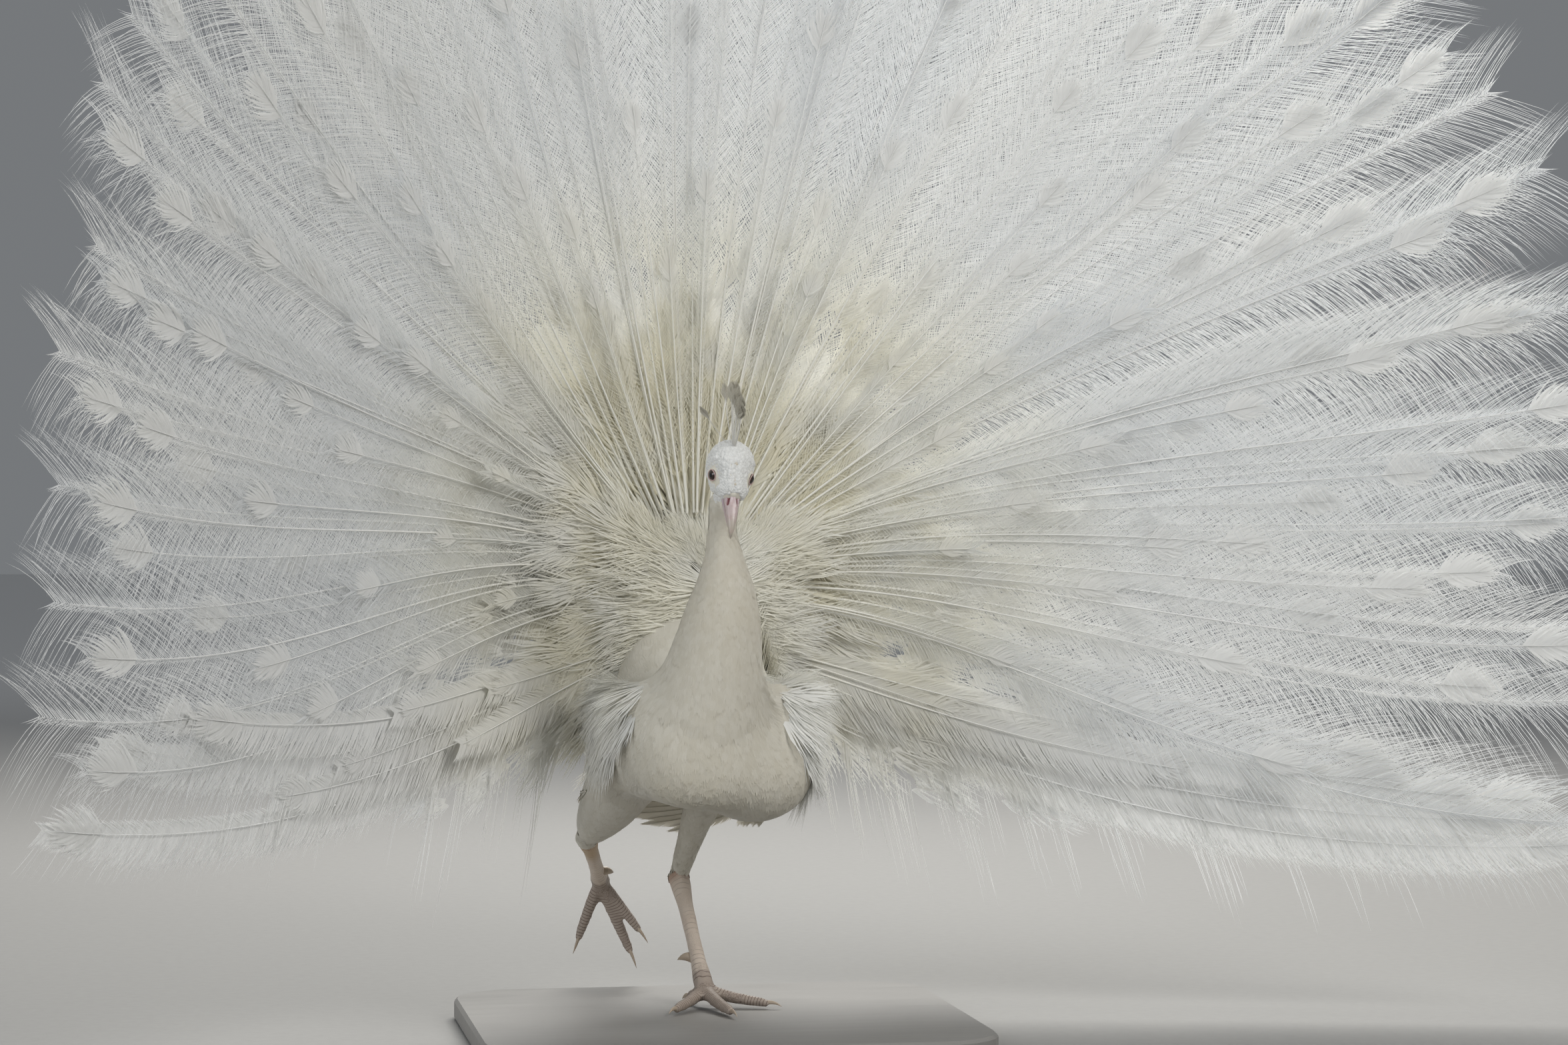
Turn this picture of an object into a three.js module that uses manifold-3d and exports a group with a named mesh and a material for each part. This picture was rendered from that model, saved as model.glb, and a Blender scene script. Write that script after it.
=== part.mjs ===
// A white Indian peacock (Pavo cristatus) in full display, walking, life size, on a plain flat base.
// Millimetres, +Z up. The bird faces -Y, and its right side is -X.
// The origin is the centre of the base's underside.
// Everything above the base is written in the bird's own frame, whose z = 0 is the top of the base.
import * as THREE from "three";
import { mergeVertices } from "three/addons/utils/BufferGeometryUtils.js";
import Module from "manifold-3d";

const wasm = await Module();
wasm.setup();

const { sin, cos, abs, sqrt, min, max, sign, PI } = Math;
const degrees = (angle) => (angle * PI) / 180;
const vec = (x, y, z) => new THREE.Vector3(x, y, z);

// ---------------------------------------------------------------- driving dimensions
const GAP = 0.3; // clearance between pieces that meet
const BASE = { length: 460, width: 420, thickness: 20, corner: 60, bevel: 3, cornerSteps: 3 };
const BIRD_AT = vec(0, 20, BASE.thickness); // where the bird's frame stands on the base

// Spine stations: x, y, z, half width, half height.
const TRUNK = [
  [-19, -150, 246, 26, 28],
  [-20, -128, 245, 62, 50],
  [-19, -72, 248, 80, 55],
  [-16, -2, 257, 85, 61],
  [-10, 62, 279, 80, 63],
  [-4, 112, 318, 66, 56],
  [1, 140, 366, 54, 42],
  [2, 150, 412, 38, 26],
];
const UNDERTAIL = [
  [-8, 96, 248, 40, 26],
  [-4, 140, 276, 46, 32],
  [-1, 168, 318, 40, 26],
  [1, 178, 362, 26, 12],
];
const NECK = [
  [-21, -80, 262, 74, 62],
  [-20, -94, 292, 57, 54],
  [-12, -99, 333, 44, 45],
  [-6, -99, 382, 34, 37],
  [-5, -96, 415, 24, 27],
  [-7, -94, 441, 17.5, 20],
  [-6, -98, 464, 16.5, 18],
  [-4, -106, 484, 15, 15],
];
const HEAD = { at: vec(-4, -122, 499), pitch: 46, yaw: 2, roll: 6 };
// Skull stations along the head's own axis: forward, up, half width, half height.
const SKULL = [
  [-29, -1, 8, 8],
  [-17, 1, 19, 20],
  [-3, 2, 22.5, 22.5],
  [10, 0.5, 20.5, 19.5],
  [21, -2, 14, 14],
  [29, -4, 9, 9.5],
];
const BILL = { base: 26, upper: 40, lower: 33, halfWidth: 7.2, halfHeight: 6, hook: 6, drop: -2.5 };
const EYE = { forward: 9, up: 3, out: 14.4, radius: 6.6 };
// The crest's feathers fan from one to the other of two angles off the upright, in degrees.
const CREST = { forward: -8, up: 17, feathers: 9, length: 67, from: -12, to: 62, shaft: 0.8, paddle: 5 };

// The train: a dish of long feathers round the rump, swept forward at the sides.
const TRAIN = {
  hub: vec(2, 142, 421),
  turn: 15, // degrees that the whole fan is turned about the vertical, its right side forward
  roll: 2.5, // degrees that its left side hangs lower
  rootSpread: 140, // root angle of the lowest feather, from straight up
  tipSpread: 106, // tip angle of the lowest feather
  rootHalfWidth: 50,
  rootTop: 24,
  rootSide: 150,
  topReach: 950,
  sideReach: 793,
  uneven: 0.04, // how much longer the left side is than the middle, and the right side shorter
  reachPower: 2.4,
  topForward: 150,
  sideForward: 440,
  forwardPower: 2,
  sweep: 1.6, // how late along its length a feather sweeps forward
  sag: [-150, -165], // how far the lowest feathers hang, across and up
  sagFrom: 0.6,
};
const TIERS = [
  { name: "train_outer", sectors: 9, tips: 4, rows: 4, from: 0.03, to: 1, scallop: 0.045, front: 0 },
  { name: "train_middle", sectors: 5, tips: 4, rows: 3, from: 0.03, to: 0.66, scallop: 0.05, front: 8 },
  { name: "train_inner", sectors: 3, tips: 4, rows: 2, from: 0.03, to: 0.36, scallop: 0.05, front: 16 },
];
const TRAIN_THICK = { root: 4, tip: 2 };
const TAIL = { at: vec(0, 178, 360), root: 24, length: 330, spread: 76, tips: 8, lean: 0.09, thickness: 2.5 };

// Wing stations: x out from the wings' middle, y, z, half width, half height.
const WING_MIDDLE = -9; // the trunk lies to the bird's right of the standing foot
const WING = [
  [70, -104, 288, 7, 22],
  [83, -58, 274, 11, 46],
  [91, 12, 250, 11, 52],
  [89, 78, 224, 8, 42],
  [73, 132, 203, 4, 24],
];
// The line of each wing's highest flight feather, and how far each one lies from the one above it.
const PRIMARIES = {
  blades: 3,
  halfWidths: [8, 9, 8, 3],
  thickness: 2.6,
  left: [vec(72, 98, 218), vec(50, 150, 188), vec(-10, 176, 176), vec(-94, 182, 182)],
  leftStep: [vec(0, 0, -9), vec(0, 0, -7.2), vec(0, 0, -5.4), vec(18, 0, -0.9)],
  right: [vec(-98, 96, 222), vec(-86, 150, 206), vec(-50, 196, 202), vec(-6, 226, 208)],
  rightStep: [vec(0, 0, -9), vec(0, 0, -7.2), vec(0, 0, -4.5), vec(-10, 0, -2.7)],
};

// The standing left leg and the lifted right leg.
const LEFT = {
  knee: vec(4, -20, 250),
  hock: vec(-15, 122, 115),
  foot: vec(-4, 31, 19),
  thigh: [34, 25, 16, 12.5, 11], // half widths from the knee to the hock
};
const RIGHT = {
  knee: vec(-70, 8, 236),
  hock: vec(-106, 104, 155),
  foot: vec(-79, 214, 101),
  thigh: [38, 35, 29, 21, 13],
};
const SHANK = { radii: [10.5, 11, 8, 7.3, 8.2, 12], along: [-0.04, 0.06, 0.26, 0.6, 0.84, 1.04] };
const SPUR = { along: 0.73, length: 20, radius: 5.4 };
// Toes: heading of the standing foot's in degrees (0 is straight ahead, outwards is positive), lengths,
// and where the lifted foot's reach to from its own foot joint.
const TOES = [
  { name: "inner", turn: -34, length: 62, claw: 15, lift: vec(50, -6, -64), slim: 0.95 },
  { name: "middle", turn: 10, length: 79, claw: 16, lift: vec(32, 8, -74), slim: 1 },
  { name: "outer", turn: 66, length: 62, claw: 14, lift: vec(-24, 6, -64), slim: 0.95 },
  { name: "hind", turn: 205, length: 27, claw: 11, lift: vec(8, 20, -22), slim: 0.7 },
];
// Along a toe, from its root: heights over the ground, and half widths.
const TOE = { heights: [17, 11, 7.5, 6], hindHeights: [18, 15, 11, 7], radii: [7.8, 6.8, 6, 4.8] };
const CLAW = { radii: [3, 2.2, 0.6], hook: 3.6 };

// ---------------------------------------------------------------- solids
function solid(geometry) {
  const bare = geometry.index ? geometry.toNonIndexed() : geometry.clone();
  for (const extra of ["normal", "uv"]) bare.deleteAttribute(extra);
  const merged = mergeVertices(bare, 1e-3);
  return new wasm.Manifold(
    new wasm.Mesh({
      numProp: 3,
      vertProperties: merged.attributes.position.array,
      triVerts: new Uint32Array(merged.index.array),
    }),
  );
}

function geometryOf(body) {
  const mesh = body.getMesh();
  return new THREE.BufferGeometry()
    .setAttribute("position", new THREE.BufferAttribute(new Float32Array(mesh.vertProperties), 3))
    .setIndex(new THREE.BufferAttribute(new Uint32Array(mesh.triVerts), 1));
}

// The biggest of a cut's pieces: the slivers that a cut leaves are dropped.
function biggest(body) {
  return body.decompose().sort((a, b) => b.volume() - a.volume())[0];
}

function without(body, ...others) {
  return biggest(others.reduce((left, other) => left.subtract(other), body));
}

function united(bodies) {
  return bodies.reduce((a, b) => a.add(b));
}

// A closed tube along stations [x, y, z, half width, half height]: a sphere drawn out over the line.
// `across` is the direction of the half width, `grow` swells it, and `square` above 2 squares its section.
function loft(stations, { sides, rings, across = vec(1, 0, 0), grow = 0, square = 2, cap = 0.1 }) {
  const line = new THREE.CatmullRomCurve3(stations.map(([x, y, z]) => vec(x, y, z)), false, "catmullrom");
  const size = new THREE.CatmullRomCurve3(stations.map(([, , , w, h]) => vec(w, h, 0)), false, "catmullrom");
  const shape = new THREE.SphereGeometry(1, sides, rings);
  const { position, uv } = shape.attributes;
  const power = 2 / square;
  for (let i = 0; i < position.count; i++) {
    const along = (1 - cos(PI * (1 - uv.getY(i)))) / 2;
    const angle = 2 * PI * uv.getX(i);
    const fromEnd = min(1, min(along, 1 - along) / cap);
    const rounding = sqrt(max(0, 1 - (1 - fromEnd) ** 2));
    const half = size.getPoint(along).addScalar(grow).multiplyScalar(rounding);
    const tangent = line.getTangent(along);
    const wide = across.clone().addScaledVector(tangent, -across.dot(tangent)).normalize();
    const high = tangent.clone().cross(wide);
    const c = cos(angle);
    const s = sin(angle);
    const place = line
      .getPoint(along)
      .addScaledVector(wide, -half.x * sign(c) * abs(c) ** power)
      .addScaledVector(high, half.y * sign(s) * abs(s) ** power);
    position.setXYZ(i, place.x, place.y, place.z);
  }
  return solid(shape);
}

// A thin upright feather blade along three or more points.
function blade(points, halfWidths, thickness, grow) {
  const stations = points.map((p, i) => [p.x, p.y, p.z, halfWidths[i], thickness / 2]);
  return loft(stations, { sides: 4, rings: 6, cap: 0.16, across: vec(0, 0.3, 1), grow });
}

// ---------------------------------------------------------------- head
const headTurn = new THREE.Euler(degrees(HEAD.pitch), degrees(HEAD.roll), degrees(HEAD.yaw), "ZYX");
const headAcross = vec(1, 0, 0).applyEuler(headTurn);

// A point of the head's own frame: x to the bird's left, forward along the bill, up over the crown.
function onHead(x, forward, up) {
  return vec(x, -forward, up).applyEuler(headTurn).add(HEAD.at);
}

function headLoft(rows, options) {
  const stations = rows.map(([forward, up, w, h]) => [...onHead(0, forward, up).toArray(), w, h]);
  return loft(stations, { across: headAcross, ...options });
}

const makeSkull = (grow = 0) => headLoft(SKULL, { sides: 16, rings: 11, cap: 0.12, grow });

function makeBill(length, drop, size, hook, grow = 0) {
  const { base, halfWidth, halfHeight } = BILL;
  const rows = [
    [base - 6, drop, halfWidth * 1.1, halfHeight * size],
    [base + length * 0.25, drop - 1.5, halfWidth, halfHeight * size * 0.92],
    [base + length * 0.65, drop - 3 - hook * 0.3, halfWidth * 0.62, halfHeight * size * 0.66],
    [base + length, drop - 5 - hook, halfWidth * 0.16, halfHeight * size * 0.2],
  ];
  return headLoft(rows, { sides: 8, rings: 7, cap: 0.06, grow });
}

function makeEye(side, grow = 0) {
  const centre = onHead(side * EYE.out, EYE.forward, EYE.up);
  return solid(new THREE.SphereGeometry(EYE.radius + grow, 10, 7).translate(centre.x, centre.y, centre.z));
}

// The crest: bare shafts with webbed tips, fanned fore and aft over the crown.
function makeCrest() {
  const { forward, up, feathers, length, from, to, shaft, paddle } = CREST;
  const root = onHead(0, forward, up);
  const ahead = vec(0, -1, 0).applyAxisAngle(vec(0, 0, 1), degrees(HEAD.yaw));
  const shafts = [];
  for (let i = 0; i < feathers; i++) {
    const lean = degrees(from + ((to - from) * i) / (feathers - 1));
    const out = ahead.clone().multiplyScalar(sin(lean)).add(vec(0, 0, cos(lean)));
    const side = ahead.clone().multiplyScalar(cos(lean)).add(vec(0, 0, -sin(lean)));
    const reach = length * (1 - 0.1 * (i / (feathers - 1)));
    const stations = [0, 0.4, 0.7, 0.88, 1].map((share, k) => [
      ...root.clone().addScaledVector(out, reach * share).toArray(),
      [shaft, shaft, shaft * 1.4, paddle, 1.5][k],
      shaft,
    ]);
    shafts.push(loft(stations, { sides: 4, rings: 6, across: side, cap: 0.05 }));
  }
  return united(shafts);
}

// ---------------------------------------------------------------- train
const fanTurn = new THREE.Euler(0, degrees(TRAIN.roll), degrees(TRAIN.turn), "ZYX");

// A point of the fan's middle surface. side is -1 at the lowest feather on the bird's right, 0 at the top
// and 1 on its left; along is 0 at the root and 1 at the tip.
function fanPlace(side, along) {
  const a = abs(side);
  const hand = side < 0 ? -1 : 1;
  const rootAngle = degrees(a * TRAIN.rootSpread);
  const tipAngle = degrees(a * TRAIN.tipSpread);
  const length = TRAIN.topReach + (TRAIN.sideReach - TRAIN.topReach) * sin(tipAngle) ** TRAIN.reachPower;
  const reach = length * (1 + TRAIN.uneven * hand * sin(tipAngle));
  const sag = max(0, (a - TRAIN.sagFrom) / (1 - TRAIN.sagFrom)) ** 2;
  const root =
    rootAngle < PI / 2
      ? [TRAIN.rootHalfWidth * sin(rootAngle), TRAIN.rootTop * cos(rootAngle)]
      : [TRAIN.rootHalfWidth, -TRAIN.rootSide * sin(rootAngle - PI / 2)];
  const tip = [reach * sin(tipAngle), reach * cos(tipAngle)];
  const [across, up] = [0, 1].map((k) => {
    const bend = (root[k] + tip[k]) / 2 + TRAIN.sag[k] * sag;
    return (1 - along) ** 2 * root[k] + 2 * along * (1 - along) * bend + along ** 2 * tip[k];
  });
  const sideways = sin(tipAngle) ** TRAIN.forwardPower;
  const forward = TRAIN.topForward + (TRAIN.sideForward - TRAIN.topForward) * sideways;
  return vec(hand * across, -forward * along ** TRAIN.sweep, up).applyEuler(fanTurn).add(TRAIN.hub);
}

// The same, off the middle surface by front, and moved sideways by shift.
function fanPoint(side, along, front, shift) {
  const step = 1e-3;
  const acrossIt = fanPlace(side + step, along).sub(fanPlace(side - step, along));
  const outwards = fanPlace(side, along + step).sub(fanPlace(side, along - step));
  const place = fanPlace(side, along).addScaledVector(acrossIt.clone().normalize(), shift);
  return place.addScaledVector(acrossIt.cross(outwards).normalize(), front);
}

// How far a rim of so many feather tips is cut back, from 0 at a tip to 1 between two.
const valley = (share, tips) => abs(((share * tips) % 1) - 0.5) * 2;

// One sector of a tier: a thin curved plate whose rim is cut into feather tips.
function makeSector(tier, index) {
  const width = 2 / tier.sectors;
  const start = -1 + index * width;
  const plate = new THREE.BoxGeometry(1, 1, 1, tier.tips * 2, tier.rows, 1);
  const { position } = plate.attributes;
  for (let i = 0; i < position.count; i++) {
    const share = position.getX(i) + 0.5;
    const rim = tier.to * (1 - tier.scallop * valley(share, tier.tips));
    const along = tier.from + (rim - tier.from) * (position.getY(i) + 0.5) ** 1.2;
    const thickness = TRAIN_THICK.root + (TRAIN_THICK.tip - TRAIN_THICK.root) * along;
    const front = tier.front + position.getZ(i) * thickness;
    const place = fanPoint(start + width * share, along, front, (0.5 - share) * 2 * GAP);
    position.setXYZ(i, place.x, place.y, place.z);
  }
  return solid(plate);
}

const TAIL_PARTING = 0.008; // half of the angle left open between the tail's halves, in radians

// One half of the true tail: short stiff feathers spread behind the train.
function makeTail(hand) {
  const { at, root, length, spread, tips, lean, thickness } = TAIL;
  const plate = new THREE.BoxGeometry(1, 1, 1, tips * 2, 2, 1);
  const { position } = plate.attributes;
  for (let i = 0; i < position.count; i++) {
    const share = position.getX(i) + 0.5;
    const angle = degrees(spread) * (hand < 0 ? share - 1 : share) + hand * TAIL_PARTING;
    const out = root + (length * (1 - 0.05 * valley(share, tips)) - root) * (position.getY(i) + 0.5);
    const back = lean * out - position.getZ(i) * thickness;
    const place = vec(out * sin(angle), back, out * cos(angle)).applyEuler(fanTurn).add(at);
    position.setXYZ(i, place.x, place.y, place.z);
  }
  return solid(plate);
}

// ---------------------------------------------------------------- wings
// A folded wing, drooped a little along the flank.
function makeWing(hand, grow = 0) {
  const stations = WING.map(([out, ...rest]) => [WING_MIDDLE + hand * out, ...rest]);
  return loft(stations, { sides: 10, rings: 8, grow, square: 2.4 });
}

// The long flight feathers hang under the tail, and those of each wing cross to the other side.
function makePrimaries(hand, grow = 0) {
  const { blades, halfWidths, thickness, left, leftStep, right, rightStep } = PRIMARIES;
  const [line, steps] = hand > 0 ? [left, leftStep] : [right, rightStep];
  const made = [];
  for (let i = 0; i < blades; i++) {
    const points = line.map((point, k) => point.clone().addScaledVector(steps[k], i));
    made.push(blade(points, halfWidths, thickness, grow));
  }
  return united(made);
}

// ---------------------------------------------------------------- legs
function makeThigh({ knee, hock, thigh }, grow = 0) {
  const stations = [0, 0.3, 0.58, 0.82, 1].map((share, i) => [
    ...knee.clone().lerp(hock, share).toArray(),
    thigh[i],
    thigh[i] * 1.1,
  ]);
  return loft(stations, { sides: 11, rings: 8, grow, cap: 0.08 });
}

function makeShank({ hock, foot }, grow = 0) {
  const stations = SHANK.along.map((share, i) => [
    ...hock.clone().lerp(foot, share).toArray(),
    SHANK.radii[i],
    SHANK.radii[i] * 1.1,
  ]);
  return loft(stations, { sides: 8, rings: 9, cap: 0.06, grow });
}

// The spur grows from the back of the shank and points inwards.
function makeSpur({ hock, foot }, hand) {
  const root = hock.clone().lerp(foot, SPUR.along);
  const out = vec(-hand * 0.86, 0.45, -0.22).normalize();
  const stations = [0.15, 0.5, 1].map((share, i) => [
    ...root.clone().addScaledVector(out, SPUR.length * share).toArray(),
    SPUR.radius * [1, 0.72, 0.15][i],
    SPUR.radius * [1, 0.72, 0.15][i],
  ]);
  return loft(stations, { sides: 6, rings: 5, across: vec(0, 0, 1), cap: 0.05 });
}

// The line of a toe: on the ground for the standing foot, hanging for the lifted one.
function toeLine({ foot }, toe, hand) {
  if (hand < 0) {
    const reach = toe.lift.clone().setLength(toe.length);
    const curl = vec(0, 0.4 * toe.length, 0);
    const points = [0, 0.35, 0.7, 1].map((share) =>
      foot.clone().addScaledVector(reach, share).addScaledVector(curl, share * (1 - share)),
    );
    return { points, out: reach.clone().normalize(), down: vec(0, 0.55, -0.6) };
  }
  const heading = degrees(toe.turn);
  const out = vec(sin(heading), -cos(heading), 0);
  const heights = toe.name === "hind" ? TOE.hindHeights : TOE.heights;
  const points = [0, 0.32, 0.68, 1].map((share, i) =>
    vec(foot.x, foot.y, 0).addScaledVector(out, share * toe.length).setZ(heights[i]),
  );
  return { points, out, down: vec(0, 0, -1) };
}

function makeToe(leg, toe, hand, grow = 0) {
  const { points, out } = toeLine(leg, toe, hand);
  const radii = TOE.radii.map((radius) => radius * toe.slim);
  const stations = points.map((p, i) => [...p.toArray(), radii[i], radii[i]]);
  const across = out.clone().cross(vec(0.1, 0.2, 1)).normalize();
  return loft(stations, { sides: 6, rings: 6, across, cap: 0.12, grow });
}

function makeClaw(leg, toe, hand) {
  const { points, out, down } = toeLine(leg, toe, hand);
  const root = points.at(-1).clone().addScaledVector(out, -1);
  const across = out.clone().cross(vec(0.1, 0.2, 1)).normalize();
  const stations = [0, 0.55, 1].map((share, i) => {
    const point = root.clone().addScaledVector(out, toe.claw * share);
    point.addScaledVector(down, CLAW.hook * share ** 2);
    return [...point.toArray(), CLAW.radii[i], CLAW.radii[i] * 1.15];
  });
  return loft(stations, { sides: 5, rings: 4, across, cap: 0.05 });
}

// ---------------------------------------------------------------- base
function makeBase() {
  const { length, width, thickness, corner, bevel, cornerSteps } = BASE;
  const halfX = length / 2 - bevel;
  const halfY = width / 2 - bevel;
  const outline = new THREE.Shape();
  outline.moveTo(-halfX + corner, -halfY);
  for (const [x, y, start] of [[1, -1, -90], [1, 1, 0], [-1, 1, 90], [-1, -1, 180]]) {
    outline.absarc(x * (halfX - corner), y * (halfY - corner), corner, degrees(start), degrees(start + 90));
  }
  return new THREE.ExtrudeGeometry(outline, {
    depth: thickness - 2 * bevel,
    bevelThickness: bevel,
    bevelSize: bevel,
    bevelSegments: 1,
    curveSegments: cornerSteps,
  }).translate(0, 0, bevel);
}

// ---------------------------------------------------------------- materials
const plain = (color, roughness = 0.8) => new THREE.MeshStandardMaterial({ color, roughness, metalness: 0 });
const FINISH = {
  plumage: plain(0xe4dfd0),
  train: plain(0xf0eee6),
  crest: plain(0xb9b3a2),
  horn: plain(0xd9b8ae, 0.5),
  eye: plain(0x17120f, 0.1),
  scales: plain(0xc7a78f, 0.6),
  claw: plain(0xd8c9a8, 0.5),
  base: plain(0x8d8b86, 0.7),
};

// ---------------------------------------------------------------- the bird
const peacock = new THREE.Group();
const bird = new THREE.Group();
bird.position.copy(BIRD_AT);
peacock.add(bird);

function place(name, body, finish) {
  const mesh = new THREE.Mesh(geometryOf(body), FINISH[finish]);
  mesh.name = name;
  bird.add(mesh);
}

const makeTrunk = (grow = 0) => loft(TRUNK, { sides: 18, rings: 14, square: 2.5, grow });
const makeNeck = (grow = 0) => loft(NECK, { sides: 16, rings: 12, grow });
const trunkClear = makeTrunk(GAP);
const skullClear = makeSkull(GAP);
place("trunk", makeTrunk(), "plumage");
place("neck", without(makeNeck(), trunkClear, skullClear), "plumage");
place("head", without(makeSkull(), makeEye(1, GAP), makeEye(-1, GAP)), "plumage");
place("eye_left", makeEye(1), "eye");
place("eye_right", makeEye(-1), "eye");

const upperBill = [BILL.upper, BILL.drop, 1, BILL.hook];
const lowerBill = [BILL.lower, BILL.drop - 4, 0.7, BILL.hook * 0.4];
place("bill_upper", without(makeBill(...upperBill), skullClear), "horn");
place("bill_lower", without(makeBill(...lowerBill), skullClear, makeBill(...upperBill, GAP)), "horn");
place("crest", without(makeCrest(), skullClear), "crest");

// Legs. All that follows keeps clear of what is in `clear`.
const clear = [trunkClear, makeNeck(GAP)];
const floor = solid(new THREE.BoxGeometry(800, 800, 20).translate(0, 0, -10));
for (const [side, leg, hand] of [["left", LEFT, 1], ["right", RIGHT, -1]]) {
  const toes = TOES.map((toe) => makeToe(leg, toe, hand));
  place(`thigh_${side}`, without(makeThigh(leg), trunkClear), "plumage");
  place(`shank_${side}`, without(makeShank(leg), makeThigh(leg, GAP)), "scales");
  place(`spur_${side}`, without(makeSpur(leg, hand), makeShank(leg, GAP)), "claw");
  place(`foot_${side}`, without(united(toes), makeShank(leg, GAP), floor), "scales");
  TOES.forEach((toe, i) => {
    const claw = without(makeClaw(leg, toe, hand), makeToe(leg, toe, hand, GAP), floor);
    place(`claw_${side}_${toe.name}`, claw, "claw");
  });
  clear.push(makeThigh(leg, GAP), makeShank(leg, GAP));
}

// Wings, train and tail.
const makeUndertail = (grow = 0) => loft(UNDERTAIL, { sides: 12, rings: 9, grow });
place("undertail", without(makeUndertail(), ...clear), "plumage");
clear.push(makeUndertail(GAP));
for (const [side, hand] of [["left", 1], ["right", -1]]) {
  place(`wing_${side}`, without(makeWing(hand), ...clear), "plumage");
  place(`primaries_${side}`, without(makePrimaries(hand), makeWing(hand, GAP), ...clear), "train");
  clear.push(makeWing(hand, GAP), makePrimaries(hand, GAP));
  place(`tail_${side}`, without(makeTail(hand), ...clear), "train");
}
for (const tier of TIERS) {
  for (let i = 0; i < tier.sectors; i++) {
    place(`${tier.name}_${i + 1}`, without(makeSector(tier, i), ...clear), "train");
  }
}

const base = new THREE.Mesh(makeBase(), FINISH.base);
base.name = "stand_base";
peacock.add(base);

export default peacock;
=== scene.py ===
import bmesh
import bpy
import numpy as np
from mathutils import Euler, Matrix, Vector
from mathutils.bvhtree import BVHTree

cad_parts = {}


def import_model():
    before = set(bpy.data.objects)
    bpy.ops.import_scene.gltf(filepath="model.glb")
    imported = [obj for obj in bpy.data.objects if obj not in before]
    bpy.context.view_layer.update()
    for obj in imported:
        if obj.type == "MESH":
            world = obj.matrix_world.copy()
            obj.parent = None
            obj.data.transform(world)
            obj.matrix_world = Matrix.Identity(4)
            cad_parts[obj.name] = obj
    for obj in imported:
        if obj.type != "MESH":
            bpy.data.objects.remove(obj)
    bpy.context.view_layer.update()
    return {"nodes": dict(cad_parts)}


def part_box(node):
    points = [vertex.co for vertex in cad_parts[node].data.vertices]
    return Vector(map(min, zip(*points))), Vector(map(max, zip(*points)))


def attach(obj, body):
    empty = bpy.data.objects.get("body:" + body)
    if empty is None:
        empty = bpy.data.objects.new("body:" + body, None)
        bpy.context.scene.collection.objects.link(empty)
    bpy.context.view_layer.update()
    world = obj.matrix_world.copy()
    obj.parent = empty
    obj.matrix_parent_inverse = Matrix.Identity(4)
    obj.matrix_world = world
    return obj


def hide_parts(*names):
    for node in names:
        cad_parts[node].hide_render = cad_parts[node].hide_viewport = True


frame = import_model()
nodes = frame["nodes"]
rng = np.random.default_rng(11)

MM = 0.001
BASE_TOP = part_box("stand_base")[1].z
BIRD_AT = np.array([0.0, 20 * MM, BASE_TOP])  # the bird's own frame, as its solids have it
SIDES = ((1, "left"), (-1, "right"))
UP = np.array([0.0, 0.0, 1.0])


# ---- numbers and turns
def unit(v):
    return v / np.maximum(np.linalg.norm(v, axis=-1, keepdims=True), 1e-12)


def norm(v):
    return np.linalg.norm(v, axis=-1)


def bell(x, width):
    return np.exp(-((x / width) ** 2))


def smooth_step(x, low, high):
    t = np.clip((x - low) / (high - low), 0, 1)
    return t * t * (3 - 2 * t)


def turn(yaw, roll, pitch):
    """A turn by pitch about X, then roll about Y, then yaw about Z, in degrees."""
    angles = np.radians((yaw, roll, pitch))
    z, y, x = (np.array(Matrix.Rotation(a, 3, k)) for a, k in zip(angles, "ZYX"))
    return z @ y @ x


def tangent_of(vector, normal):
    return unit(vector - normal * (vector * normal).sum(-1, keepdims=True))


# ---- the fan's surface
# The train is a dish of long feathers round the rump, swept forward at the sides.
HUB = BIRD_AT + np.array([2, 142, 421]) * MM
FAN_TURN = turn(15, 2.5, 0)
ROOT_SPREAD, TIP_SPREAD = np.radians(140), np.radians(106)  # the lowest feather's angles from straight up
ROOT_HALF_WIDTH, ROOT_TOP, ROOT_SIDE = 50 * MM, 24 * MM, 150 * MM
TOP_REACH, SIDE_REACH, REACH_POWER, UNEVEN = 950 * MM, 793 * MM, 2.4, 0.04
TOP_FORWARD, SIDE_FORWARD, SWEEP = 150 * MM, 440 * MM, 1.6
SAG, SAG_FROM = (-150 * MM, -165 * MM), 0.6


def fan_place(side, along):
    """A point of the fan: side is -1 at the lowest feather on the bird's right, 0 at the top and 1 on its
    left, and along is 0 at the root and 1 at the rim."""
    side, along = np.broadcast_arrays(np.asarray(side, float), np.asarray(along, float))
    a, hand = np.abs(side), np.where(side < 0, -1.0, 1.0)
    root_angle, tip_angle = a * ROOT_SPREAD, a * TIP_SPREAD
    reach = TOP_REACH + (SIDE_REACH - TOP_REACH) * np.sin(tip_angle) ** REACH_POWER
    reach = reach * (1 + UNEVEN * hand * np.sin(tip_angle))
    sag = np.clip((a - SAG_FROM) / (1 - SAG_FROM), 0, None) ** 2
    above = root_angle < np.pi / 2
    roots = (
        np.where(above, ROOT_HALF_WIDTH * np.sin(root_angle), ROOT_HALF_WIDTH),
        np.where(above, ROOT_TOP * np.cos(root_angle), -ROOT_SIDE * np.sin(root_angle - np.pi / 2)),
    )
    tips = reach * np.sin(tip_angle), reach * np.cos(tip_angle)
    flat = []
    for root, tip, pull in zip(roots, tips, SAG):
        bend = (root + tip) / 2 + pull * sag
        flat.append((1 - along) ** 2 * root + 2 * along * (1 - along) * bend + along**2 * tip)
    forward = TOP_FORWARD + (SIDE_FORWARD - TOP_FORWARD) * np.sin(tip_angle) ** 2
    place = np.stack([hand * flat[0], -forward * np.abs(along) ** SWEEP, flat[1]], -1)
    return place @ FAN_TURN.T + HUB


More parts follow.
